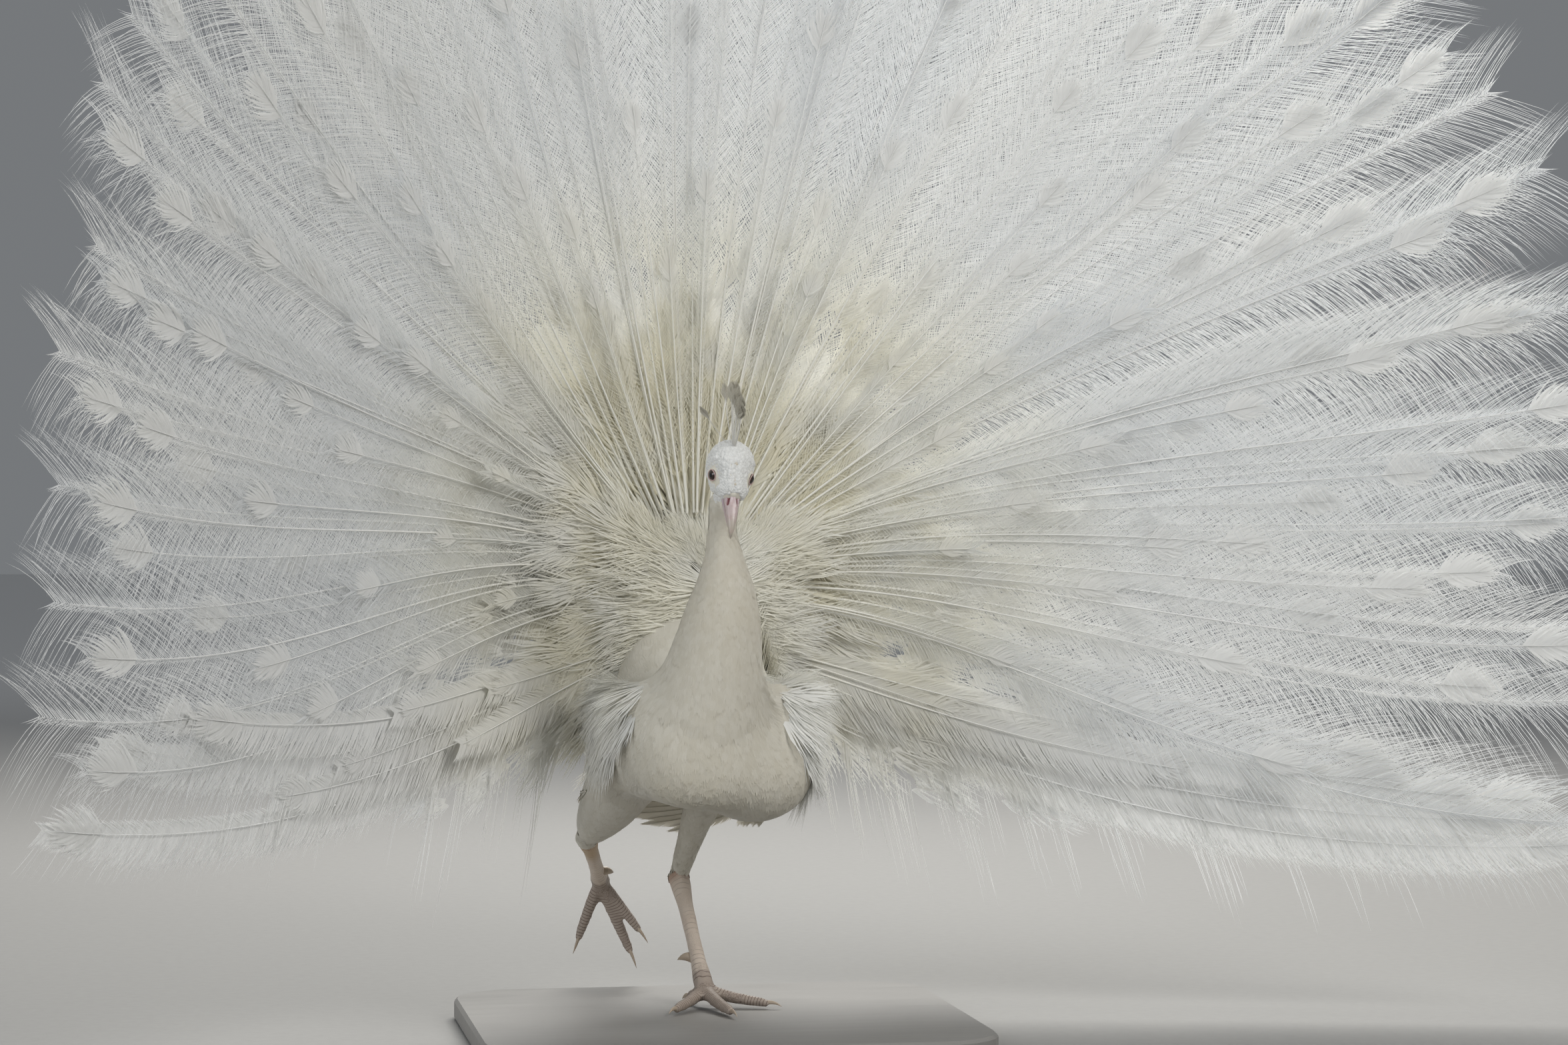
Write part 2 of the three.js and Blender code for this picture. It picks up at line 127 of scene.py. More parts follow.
def fan_frame(side, along, lift=0.0):
    """Places on the fan, raised forwards by lift, and the directions across, outwards and to the front."""
    step = 1e-3
    across = unit(fan_place(side + step, along) - fan_place(side - step, along))
    out = unit(fan_place(side, along + step) - fan_place(side, along - step))
    front = unit(np.cross(across, out))
    across = np.cross(out, front)
    return fan_place(side, along) + front * np.asarray(lift)[..., None], across, out, front


# ---- meshes of many thin pieces
PATCH = 0.003  # side of each tuft's patch on the OFBake map


def add_object(name, mesh, material):
    """A smooth object of this mesh, in the scene."""
    mesh.shade_smooth()
    mesh.materials.append(material)
    made = bpy.data.objects.new(name, mesh)
    bpy.context.scene.collection.objects.link(made)
    return made


class Plumage:
    """Collects ribbons, grids and tubes, and makes one mesh of them."""

    def __init__(self):
        self.vertices, self.uvs, self.shades, self.normals = [], [], [], []
        self.quads, self.triangles = [], []
        self.used = 0

    def _take(self, vertices, uvs, shades, normals):
        start = self.used
        self.vertices.append(vertices)
        self.uvs.append(uvs)
        self.shades.append(shades)
        self.normals.append(normals)
        self.used += len(vertices)
        return start

    def ribbons(self, points, half, side, home, shade, normal):
        """Ribbons along points (n, k, 3) that end in a point. half (n, k-1) and side (n, k-1, 3) give their
        width, home (n, 2) their patch, shade (n,) their tone and normal (n, k, 3) how they catch light."""
        n, k = points.shape[:2]
        wide = half[..., None] * side
        rows = np.concatenate([points[:, :-1] - wide, points[:, :-1] + wide, points[:, -1:]], 1)
        v = np.arange(k - 1) / (k - 1) - 0.5
        left, right = (np.stack([0 * v + edge, v], 1) for edge in (-0.5, 0.5))
        patch = np.concatenate([left, right, [[0.0, 0.5]]])
        uv = np.clip(home, PATCH, 1 - PATCH)[:, None] + PATCH * patch
        tone = np.repeat(shade[:, None], 2 * k - 1, 1)
        shine = np.concatenate([normal[:, :-1], normal[:, :-1], normal[:, -1:]], 1)
        start = self._take(rows.reshape(-1, 3), uv.reshape(-1, 2), tone.reshape(-1), shine.reshape(-1, 3))
        first = start + (2 * k - 1) * np.arange(n)[:, None]
        for j in range(k - 2):
            self.quads.append(first + [j, j + 1, k + j, k - 1 + j])
        self.triangles.append(first + [k - 2, 2 * k - 2, 2 * k - 3])

    def grids(self, points, home, shade, normal):
        """Sheets of points (n, rows, columns, 3)."""
        n, rows, columns = points.shape[:3]
        v, u = np.meshgrid(np.linspace(-0.5, 0.5, rows), np.linspace(-0.5, 0.5, columns), indexing="ij")
        uv = np.clip(home, PATCH, 1 - PATCH)[:, None] + PATCH * np.stack([u, v], -1).reshape(-1, 2)
        tone = np.repeat(shade, rows * columns)
        start = self._take(points.reshape(-1, 3), uv.reshape(-1, 2), tone, normal.reshape(-1, 3))
        corner = (np.arange(rows - 1)[:, None] * columns + np.arange(columns - 1)).reshape(-1)
        first = (start + rows * columns * np.arange(n)[:, None] + corner).reshape(-1, 1)
        self.quads.append(first + [0, 1, columns + 1, columns])

    def tube(self, points, radii, sides, home, shade):
        """A round tube along points (k, 3) that ends in a point at its last one."""
        k = len(points)
        along = unit(np.gradient(points, axis=0))
        wide = unit(np.cross(along, [0.31, -0.9, 0.17]))
        high = np.cross(along, wide)
        angle = np.arange(sides) * 2 * np.pi / sides
        ring = np.cos(angle)[:, None] * wide[:-1, None] + np.sin(angle)[:, None] * high[:-1, None]
        rows = (points[:-1, None] + radii[:-1, None, None] * ring).reshape(-1, 3)
        rows = np.concatenate([rows, points[-1:]])
        shine = np.concatenate([ring.reshape(-1, 3), along[-1:]])
        home = np.clip(home, PATCH, 1 - PATCH)
        start = self._take(rows, np.repeat(home[None], len(rows), 0), np.full(len(rows), shade), shine)
        j, i = (index.reshape(-1) for index in np.meshgrid(np.arange(k - 2), np.arange(sides), indexing="ij"))
        after = (i + 1) % sides
        here, above = start + j * sides, start + (j + 1) * sides
        self.quads.append(np.stack([here + i, here + after, above + after, above + i], 1))
        i = np.arange(sides)
        last, end = start + (k - 2) * sides, np.full(sides, start + (k - 1) * sides)
        self.triangles.append(np.stack([last + i, last + (i + 1) % sides, end], 1))

    def build(self, name, material, own_normals=False):
        vertices = np.concatenate(self.vertices)
        quads = np.concatenate(self.quads)
        triangles = np.concatenate(self.triangles) if self.triangles else np.zeros((0, 3), int)
        mesh = bpy.data.meshes.new(name)
        mesh.vertices.add(len(vertices))
        mesh.vertices.foreach_set("co", vertices.astype(np.float32).ravel())
        corners = np.concatenate([quads.ravel(), triangles.ravel()])
        mesh.loops.add(len(corners))
        mesh.loops.foreach_set("vertex_index", corners.astype(np.int32))
        starts = np.concatenate([4 * np.arange(len(quads)), 4 * len(quads) + 3 * np.arange(len(triangles))])
        mesh.polygons.add(len(starts))
        mesh.polygons.foreach_set("loop_start", starts.astype(np.int32))
        mesh.update(calc_edges=True)
        mesh.validate()
        uv = mesh.uv_layers.new(name="OFBake")
        uv.data.foreach_set("uv", np.concatenate(self.uvs)[corners].astype(np.float32).ravel())
        shade = mesh.attributes.new("shade", "FLOAT", "POINT")
        shade.data.foreach_set("value", np.concatenate(self.shades).astype(np.float32))
        made = add_object(name, mesh, material)
        if own_normals:
            mesh.normals_split_custom_set_from_vertices(unit(np.concatenate(self.normals)).astype(np.float32))
        return made


def wear(piece, slot, *replaced):
    """The piece rides on the model and stands for the nodes replaced, which it hides. slot is not used."""
    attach(piece, "root")
    if replaced:
        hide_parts(*replaced)
    return piece


# ---- materials
class Shader:
    """A node tree under construction."""

    def __init__(self, name):
        self.material = bpy.data.materials.new(name)
        self.material.use_nodes = True
        self.tree = self.material.node_tree
        self.tree.nodes.clear()
        self.out = self.node("ShaderNodeOutputMaterial")
        self.place = self.node("ShaderNodeTexCoord").outputs["Object"]

    def node(self, kind, **settings):
        made = self.tree.nodes.new(kind)
        for key, value in settings.items():
            setattr(made, key, value)
        return made

    def put(self, socket, value):
        if isinstance(value, bpy.types.NodeSocket):
            self.tree.links.new(value, socket)
        elif isinstance(value, tuple) and socket.type == "RGBA":
            socket.default_value = (*value, 1.0)
        else:
            socket.default_value = value

    def filled(self, kind, values, **settings):
        """The outputs of a new node that has these values on its inputs."""
        made = self.node(kind, **settings)
        for key, value in values.items():
            self.put(made.inputs[key], value)
        return made.outputs

    def attribute(self, name):
        return self.node("ShaderNodeAttribute", attribute_name=name).outputs["Fac"]

    def noise(self, scale, detail=4.0, rough=0.55, vector=None):
        values = {"Vector": vector or self.place, "Scale": scale, "Detail": detail, "Roughness": rough}
        return self.filled("ShaderNodeTexNoise", values)["Fac"]

    def cells(self, scale):
        """Distance from the edges of irregular cells."""
        values = {"Vector": self.place, "Scale": scale}
        return self.filled("ShaderNodeTexVoronoi", values, feature="DISTANCE_TO_EDGE")["Distance"]

    def math(self, kind, a, b=0.0):
        return self.filled("ShaderNodeMath", {0: a, 1: b}, operation=kind)[0]

    def times(self, a, b):
        return self.math("MULTIPLY", a, b)

    def span(self, value, low, high, to_low=0.0, to_high=1.0):
        values = dict(enumerate((value, low, high, to_low, to_high)))
        return self.filled("ShaderNodeMapRange", values, interpolation_type="SMOOTHSTEP")[0]

    def mix(self, share, a, b):
        return self.filled("ShaderNodeMix", {0: share, 6: a, 7: b}, data_type="RGBA")[2]

    def distance(self, point):
        values = {0: self.place, 1: tuple(point)}
        return self.filled("ShaderNodeVectorMath", values, operation="DISTANCE")["Value"]

    def bump(self, height, strength, distance):
        values = {"Height": height, "Strength": strength, "Distance": distance}
        return self.filled("ShaderNodeBump", values)["Normal"]

    def finish(self, colour, roughness=0.6, normal=None, through=0.0, sheen=0.0, coat=0.0, specular=0.5):
        """A surface of this colour. through is the share of light that a thin vane lets through."""
        values = {"Base Color": colour, "Roughness": roughness, "Sheen Weight": sheen, "Coat Weight": coat}
        values["Specular IOR Level"] = specular
        if normal:
            values["Normal"] = normal
        shown = self.filled("ShaderNodeBsdfPrincipled", values)[0]
        if through:
            behind = self.filled("ShaderNodeBsdfTranslucent", {"Color": colour})[0]
            shown = self.filled("ShaderNodeMixShader", {0: through, 1: shown, 2: behind})[0]
        self.put(self.out.inputs["Surface"], shown)
        return self.material


WHITE, COOL, CREAM = (0.92, 0.92, 0.905), (0.82, 0.835, 0.845), (0.92, 0.86, 0.62)


def train_material(name="train_vane", through=0.36, warmth=0.62):
    s = Shader(name)
    # the cream near the hub is partly the vanes' own tint, partly painted warm glow of light shining through
    # them from behind
    near = s.span(s.distance(HUB), 0.06, 0.46, 1.0, 0.0)
    patchy = s.times(near, s.span(s.noise(9, 3), 0.3, 0.65, 0.35, 1.0))
    colour = s.mix(s.attribute("shade"), WHITE, COOL)
    colour = s.mix(s.times(patchy, warmth), colour, CREAM)
    return s.finish(colour, 0.55, through=through, sheen=0.15, specular=0.3)


def shaft_material():
    s = Shader("shaft")
    tone = s.mix(s.noise(30, 3), (0.94, 0.94, 0.93), (0.86, 0.86, 0.84))
    # cream towards the hub: partly the shafts' own tint, partly painted warm glow of light through the vanes
    tone = s.mix(s.span(s.distance(HUB), 0.1, 0.5, 0.3, 0.0), tone, CREAM)
    return s.finish(tone, 0.32, specular=0.5)


# ---- feathers of the train
def barbs(plumage, root, out, across, front, length, lean, close, width, droop, curl, home, shade,
          stations=4, loose=0.42):
    """Barbs that leave a shaft at angle lean from its direction out, towards across, and end at angle close.
    droop and curl say how strongly they turn downwards and to the front, and loose how much each twists."""
    steps = stations - 1
    middle = (np.arange(steps) + 0.5) / steps
    angle = lean[:, None] + (close - lean)[:, None] * middle
    heading = out[:, None] * np.cos(angle)[..., None] + across[:, None] * np.sin(angle)[..., None]
    heading = heading + front[:, None] * (2 * middle * curl[:, None])[..., None]
    heading = heading - UP * (2 * middle * droop[:, None])[..., None]
    heading = unit(heading)
    walk = np.cumsum(heading * (length / steps)[:, None, None], 1)
    points = np.concatenate([root[:, None], root[:, None] + walk], 1)
    twist = rng.normal(0, loose, len(root))[:, None, None]
    side = unit(np.cross(front[:, None], heading))
    side = side * np.cos(twist) + np.cross(heading, side) * np.sin(twist)
    taper = 1 - 0.6 * np.arange(steps) / steps
    half = 0.5 * width[:, None] * taper
    normal = np.repeat(front[:, None], stations, 1)
    plumage.ribbons(points, half, side, home, shade, normal)


def fan_home(side, along):
    """A place on the fan's own unwrap: side across and along up."""
    return np.stack([(side + 1) / 2 + 0 * along, np.clip(along, 0, 1)], -1)


ROOT_END = 0.05  # the share of the fan from which a feather's length is measured
SPACING = 2.5 * MM  # between the long barbs of a feather
CLOSED = 0.20  # length of the outer stretch whose vane is closed near the shaft, in metres
EYE_FROM, EYE_TO = 0.012, 0.044  # where an eye's vane grows from, in metres from the shaft's tip


class Feather:
    """A long feather: the frames at(t) along it, its side of the fan, its tone, how much of the fan it
    reaches over, and its full length in metres."""

    def __init__(self, plumage, at, side, tint, reach=1.0, full=1.0):
        self.plumage, self.at, self.side, self.tint = plumage, at, side, tint
        self.reach, self.full = reach, full
        self.per_metre = (reach - ROOT_END) / full

    def grow(self, t, hand, length, lean, close, width, droop, curl, stations, loose=0.42):
        """Barbs at shares t of the fan on one side of the shaft, with a little of chance in each."""
        n = len(t)
        root, across, out, front = self.at(t + rng.normal(0, 0.0002, n))
        lean = lean + rng.normal(0, 0.03, n)
        close = close + rng.normal(0, 0.05, n)
        width = width * rng.uniform(0.8, 1.2, n)
        droop = droop * (1 + rng.normal(0, 0.12, n))
        curl = curl + rng.normal(0, 0.05, n)
        shade = np.clip(self.tint + rng.normal(0, 0.1, n), 0, 1)
        home = fan_home(np.full(n, self.side), t)
        barbs(self.plumage, root, out, hand * across, front, length, lean, close, width, droop, curl, home,
              shade, stations, loose)

    def eye_vane(self, hand):
        """The dense brush of an eye feather's tip, one side of the shaft."""
        plain = smooth_step(self.reach, 0.35, 0.88)  # the inner ones are mostly under their neighbours' barbs
        count = int(12 + 22 * plain)
        share = np.linspace(0, 1, count)  # from the outer end inwards
        big = 0.62 + 0.50 * plain + rng.normal(0, 0.08)
        t = self.reach - (EYE_FROM + (EYE_TO - EYE_FROM) * share * big) * self.per_metre
        wide_from = smooth_step(share, 0, rng.uniform(0.3, 0.8))
        length = (0.015 + 0.017 * wide_from + rng.normal(0, 0.0028, count)) * big
        notch = rng.uniform(2, 22)
        lean = np.radians(notch + (58 - notch) * share**0.75)
        close = np.radians(rng.uniform(-14, 8) + 20 * share) + rng.normal(0, 0.08)

        def before(t):
            root, across, out, front = self.at(t)
            return root + front * 1.4 * MM, across, out, front

        brush = Feather(self.plumage, before, self.side, 0.4 * self.tint - 0.2)
        brush.grow(t, hand, length, lean, close, 2.2 * MM, 0.0, 0.0, 4, 0.15)

    def loose_vane(self, hand, bare, kind):
        """One side of an eye or fishtail feather: loose barbs, and a closed vane near the shaft's outer part."""
        low_side = hand * self.side > 0
        hang = smooth_step(abs(self.side), 0.30, 0.75)  # shafts at the sides lie level, and their barbs hang
        count = int(0.86 * self.full * (1 - bare / self.reach) / SPACING)
        t = bare + (self.reach - bare) * np.linspace(0, 1, count) ** 0.75
        below = (self.reach - t) / self.per_metre  # metres from the tip
        loose = smooth_step(below, 0.03, 0.12)
        if kind == "fishtail":
            length = 0.105 - 0.035 * bell(below, 0.025)
            lean, close = np.radians(44) + 0 * t, np.radians(34) - np.radians(12) * loose
        else:
            length = 0.045 + 0.070 * smooth_step(below, 0.0, 0.10)
            lean, close = np.radians(38) + np.radians(6) * loose, np.radians(2) + np.radians(26) * loose
        droop = 0.04 + hang * (0.95 if low_side else 0.06) * (0.4 + 0.6 * loose)
        if not low_side:
            lean, close = lean * (1 - 0.35 * hang), close * (1 - 0.5 * hang)
        length = length * (0.25 + 0.75 * smooth_step(t, 0.12, 0.62)) * (1 + rng.normal(0, 0.05, count))
        self.grow(t, hand, length, lean, close, 0.62 * MM, droop, 0.03, 5, 0.22)
        t = self.reach - np.linspace(0, min(CLOSED, 0.6 * self.full), 100) * self.per_metre
        far = (self.reach - t) / self.per_metre / CLOSED
        short = 0.022 * (1 - 0.5 * far)
        self.grow(t, hand, short, np.radians(30), np.radians(18), 0.8 * MM, 0.02, 0.05, 3)
        if kind == "eye":
            self.eye_vane(hand)

    def sword_vane(self, hand, bare):
        """One side of a scimitar feather of the lower edge: a closed vane, with a loose fringe below."""
        low_side = hand * self.side > 0
        t = np.linspace(bare * 0.5, self.reach, int(self.full / (1.1 * MM)))
        below = (self.reach - t) / self.per_metre
        near_tip = 0.5 + 0.5 * smooth_step(below, 0, 0.09)
        length = (0.044 if low_side else 0.026) * near_tip
        lean, close, droop = (60, 30, 0.10) if low_side else (34, 14, 0.0)
        self.grow(t, hand, length, np.radians(lean), np.radians(close), 1.5 * MM, droop, 0.02, 4, 0.12)
        self.eye_vane(hand)
        if low_side:
            t = np.linspace(bare, self.reach, int(self.full / (3.5 * MM)))
            length = np.full(len(t), 0.052)
            self.grow(t, hand, length, np.radians(62), np.radians(34), 0.6 * MM, 0.2, 0.02, 5)


def train_feather(plumage, shafts, side, reach, lift, kind):
    """One long feather at this side of the fan, reaching to this share of it: eye, fishtail or sword."""
    wander, depth = rng.normal(0, 0.012), rng.normal(0, 0.006)
    tint = rng.uniform(0, 1)
    pull = (0.08 if kind == "sword" else 0.22) * smooth_step(abs(side), 0.35, 1.0)

    def at(t):
        """Frames of the shaft at shares t of the fan. The lower feathers rise from nearer the middle."""
        late = (t / reach) ** 2
        here = side * (1 - pull * (1 - t) ** 1.6)
        return fan_frame(here + wander * late * reach, t, lift + depth * late)

    line = fan_place(side, np.linspace(ROOT_END, reach, 12))
    full = norm(np.diff(line, axis=0)).sum()
    t = np.linspace(0.02, reach, 26)
    radii = (1.75 - 1.4 * np.linspace(0, 1, len(t)) ** 0.8) * MM * (0.65 + 0.35 * reach)
    shaft, _, _, ahead = at(t)
    shafts.tube(shaft + ahead * 2.4 * MM, radii, 5, fan_home(side, np.array(reach * 0.5)), tint)
    bare = 0.06 if reach < 0.5 else 0.13  # the root is hidden by shorter feathers
    feather = Feather(plumage, at, side, 0.0 if kind == "sword" else tint, reach, full)
    for hand in (-1, 1):
        if kind == "sword":
            feather.sword_vane(hand, bare)
        else:
            feather.loose_vane(hand, bare, kind)


# Rows of the train from the rim inwards: reach, feathers, kind.
ROWS = [
    (0.955, 30, "fishtail"),
    (0.925, 27, "eye"),
    (0.860, 25, "eye"),
    (0.785, 22, "eye"),
    (0.710, 19, "eye"),
    (0.630, 17, "eye"),
    (0.545, 14, "eye"),
    (0.460, 12, "eye"),
    (0.380, 10, "eye"),
    (0.300, 9, "eye"),
]
SWORDS = [  # on each side of the fan: side, reach
    (0.992, 0.97),
    (0.975, 0.90),
    (0.958, 0.80),
    (0.985, 0.70),
    (0.965, 0.60),
    (0.945, 0.50),
    (0.98, 0.42),
    (0.955, 0.33),
]
TIERS = (("train_outer", 9, 0.66, 1.1), ("train_middle", 5, 0.36, 0.66), ("train_inner", 3, 0.0, 0.36))


def train_lift(reach):
    """How far in front of the fan's own surface a feather of this reach lies."""
    return 0.021 * (1 - reach)


def make_strands(plumage):
    """Long loose barbs that hang in clumps from the lower edge, more of them on the bird's left."""
    for hand, clumps in ((1, 44), (-1, 16)):
        for _ in range(clumps):
            n = rng.integers(3, 7)
            side = hand * rng.uniform(0.955, 0.995)
            t = np.clip(rng.uniform(0.16, 0.80) + rng.normal(0, 0.006, n), 0.1, 0.97)
            length = rng.uniform(0.06, 0.125) * rng.uniform(0.7, 1.15, n)

            def at(t):
                return fan_frame(side, t, 0.004)

            clump = Feather(plumage, at, side, 0.0)
            clump.grow(t, hand, length, np.radians(62), np.radians(20), 0.85 * MM, 1.3, 0.0, 7)


def train_plans():
    """Side, reach and kind of each of the train's long feathers."""
    plans = []
    for row, (reach, count, kind) in enumerate(ROWS):
        for i in range(count):
            side = -1 + 2 * (i + 0.5 + 0.25 * (-1) ** row) / count
            side = np.clip(side + rng.normal(0, 0.16 / count), -0.985, 0.985)
            plans.append((side, reach * (1 + rng.normal(0, 0.012)), kind))
    return plans + [(hand * side, reach, "sword") for hand in (-1, 1) for side, reach in SWORDS]


def make_train(vane, quill):
    """The long feathers in pieces by tier and sector, all their shafts, and the strands below them."""
    plans = train_plans()
    shafts = Plumage()
    for tier, sectors, low, high in TIERS:
        for sector in range(sectors):
            plumage = Plumage()
            for side, reach, kind in plans:
                if low <= reach < high and min(int((side + 1) / 2 * sectors), sectors - 1) == sector:
                    lift = train_lift(reach) + rng.normal(0, 0.0015)
                    train_feather(plumage, shafts, side, reach, lift, kind)
            name = f"{tier}_{sector + 1}"
            wear(plumage.build(f"{name}_feathers", vane), "train", name)
    wear(shafts.build("train_shafts", quill), "train")
    strands = Plumage()
    make_strands(strands)
    wear(strands.build("train_strands", vane), "train")


# ---- the bird's own places
def in_bird(points):
    """Places in the world of points that are given in millimetres in the bird's own frame."""
    return BIRD_AT + np.asarray(points, float) * MM


HEAD_AT = in_bird((-4, -122, 499))
HEAD_TURN = turn(2, 6, 46)
SPINE = in_bird(
    [(2, 165, 405), (1, 140, 366), (-4, 112, 318), (-10, 62, 279), (-16, -2, 257), (-19, -60, 255)]
    + [(-18, -90, 285), (-12, -99, 333), (-6, -99, 382), (-5, -96, 415), (-6, -98, 464), (-4, -122, 499)]
)
LEGS = {
    "left": in_bird([(4, -20, 250), (-15, 122, 115), (-4, 31, 19)]),  # knee, hock and foot
    "right": in_bird([(-70, 8, 236), (-106, 104, 155), (-79, 214, 101)]),
}
WING_MIDDLE = -9
# Where the feathers lie in which direction: place in the bird's frame, then direction.
LIE = [
    ((-6, -97, 450), (0, 0.05, -1)),
    ((-6, -99, 390), (0, 0, -1)),
    ((-12, -99, 335), (0, 0, -1)),
    ((-20, -150, 300), (0, -0.15, -1)),
    ((-20, -185, 250), (0, 0.15, -1)),
    ((-20, -150, 190), (0, 0.8, -0.7)),
    ((-19, -60, 165), (0, 1, -0.05)),
    ((-10, 70, 205), (0, 1, 0.3)),
    ((65, -90, 250), (0.15, 0.7, -0.8)),
    ((-105, -90, 250), (-0.15, 0.7, -0.8)),
    ((85, 20, 240), (0, 1, -0.3)),
    ((-105, 20, 240), (0, 1, -0.3)),
    ((65, 120, 250), (0, 1, -0.1)),
    ((-85, 120, 250), (0, 1, -0.1)),
    ((50, -60, 310), (0.3, 0.9, -0.2)),
    ((-90, -60, 310), (-0.3, 0.9, -0.2)),
    ((-18, -20, 320), (0, 1, 0.2)),
    ((-8, 60, 345), (0, 1, 0.8)),
    ((0, 105, 395), (0, 0.7, 1)),
    ((0, 170, 330), (0, 1, -0.5)),
]


def on_head(points):
    """Places of points in the head's frame: x to its left, forward along the bill and up, in millimetres."""
    return (np.asarray(points, float) * [1, -1, 1] * MM) @ HEAD_TURN.T + HEAD_AT


def to_head(points):
    return (points - HEAD_AT) @ HEAD_TURN / MM * [1, -1, 1]


def head_direction(x, forward, up):
    return unit(on_head((x, forward, up)) - HEAD_AT)


def near_line(points, line):
    """For each point the nearest place of a line: its share of the length, place, direction and distance."""
    start, step = line[:-1], np.diff(line, axis=0)
    size = norm(step)
    t = np.clip(((points[:, None] - start) * step).sum(-1) / size**2, 0, 1)
    near = start + t[..., None] * step
    away = norm(points[:, None] - near)
    k = away.argmin(1)
    rows = np.arange(len(points))
    share = (np.concatenate([[0], np.cumsum(size)])[k] + t[rows, k] * size[k]) / size.sum()
    return share, near[rows, k], unit(step)[k], away[rows, k]


def home_round(points, line):
    """Places on an unwrap of the skin: across by the angle round a line inside it, and up along it."""
    share, near, direction, _ = near_line(points, line)
    right = tangent_of(np.array([1.0, 0.0, 0.0]), direction)
    high = np.cross(right, direction)
    off = points - near
    angle = np.arctan2((off * right).sum(-1), (off * high).sum(-1))
    return np.stack([angle / (2 * np.pi) + 0.5, share], -1)


def lie_at(points, normals):
    places = in_bird([place for place, _ in LIE])
    weight = 1 / (norm(points[:, None] - places) ** 4 + 1e-9)
    mean = weight @ unit(np.array([direction for _, direction in LIE], float))
    return tangent_of(mean, normals)


def near_segment(points, a, b):
    """Distances of points from the segment from a to b."""
    a, b = np.asarray(a, float), np.asarray(b, float)
    t = np.clip((points - a) @ (b - a) / ((b - a) @ (b - a)), 0, 1)
    return norm(points - a - t[:, None] * (b - a))


# ---- one skin
FLESH = {  # node: how much it is smoothed, and how deep the skin lies in it, in millimetres
    "trunk": (1.0, 3.0),
    "neck": (1.0, 1.6),
    "head": (0.35, 0.8),
    "undertail": (1.0, 4.0),
    "wing_left": (0.9, 2.0),
    "wing_right": (0.9, 2.0),
    "thigh_left": (0.7, 2.5),
    "thigh_right": (0.7, 2.5),
    "shank_left": (0.06, 0.1),
    "shank_right": (0.06, 0.1),
    "foot_left": (0.06, 0.1),
    "foot_right": (0.06, 0.1),
}
LOBES = [  # what they belong to, place in the bird's frame and half sizes
    ("trunk", (22, -82, 230), (60, 60, 50)),
    ("wing_left", (52, -74, 268), (26, 48, 44)),
    ("wing_left", (50, -30, 232), (32, 62, 42)),
    ("wing_right", (-70, -74, 268), (26, 48, 44)),
    ("wing_right", (-70, -40, 240), (28, 62, 42)),
]
SWELL = 0.4 * MM  # closes the hairline gaps between solids before they are joined
VOXEL = 2.8 * MM
EYE_AT = np.array([14.2, 9.0, 3.0])  # in the head's frame, mirrored for the right eye
EYE_RADIUS = 6.3
EYE_OPENING = np.radians(50)
FOLDS = [  # of the face, mirrored: height, the line each runs along, and its width, in millimetres
    (1.5, (16.5, 0, 11.5), (10.5, 20, 3.5), 3.2),  # brow
    (-1.1, (0, 4, 21), (0, 26, 9), 1.8),  # crease of the forehead
    (0.9, (3.6, 8, 21), (3.6, 25, 10), 3.0),  # ridges beside it
    (-0.8, (10.5, 14, -9.5), (7.5, 26, -7), 1.1),  # corner of the mouth
    (-0.6, (17, 16, -2), (12, 22, -3), 3.0),  # hollow before the cheek
]
KNOBS = 420  # how many small bumps are strewn over the head's skin
LEG_RADIUS, FOOT_REACH = 18 * MM, 100 * MM  # what lies closer to a shank or a foot belongs to it
THIGH_RADIUS = 42 * MM


def gaze_of(hand):
    """The way an eye looks, in the head's frame; hand is 1 on the left."""
    return unit(np.array([hand, 0.50, 0.26]))


def relax(values, edges, share, rounds, back=0.0):
    """Moves each row of values towards the mean of its neighbours by its own share, some rounds. A step back
    after each one, by the share times back, keeps the volume."""
    n, (a, b) = len(values), edges.T
    degree = np.bincount(a, minlength=n) + np.bincount(b, minlength=n)
    degree = np.maximum(degree, 1)[:, None]
    for sign in ([1.0, -back] if back else [1.0]) * rounds:
        total = [np.bincount(a, v[b], n) + np.bincount(b, v[a], n) for v in values.T]
        values = values + sign * share[:, None] * (np.stack(total, 1) / degree - values)
    return values


def read(rows, key, width, kind=np.float32):
    """A property of a mesh's rows, as an array of this width."""
    flat = np.empty(width * len(rows), kind)
    rows.foreach_get(key, flat)
    return flat.reshape(-1, width)


def get_places(mesh):
    return read(mesh.vertices, "co", 3).astype(float)


def set_places(mesh, places):
    mesh.vertices.foreach_set("co", places.astype(np.float32).ravel())
    mesh.update()


def get_normals(mesh):
    return read(mesh.vertex_normals, "vector", 3).astype(float)


def get_edges(mesh):
    return read(mesh.edges, "vertices", 2, np.int32)


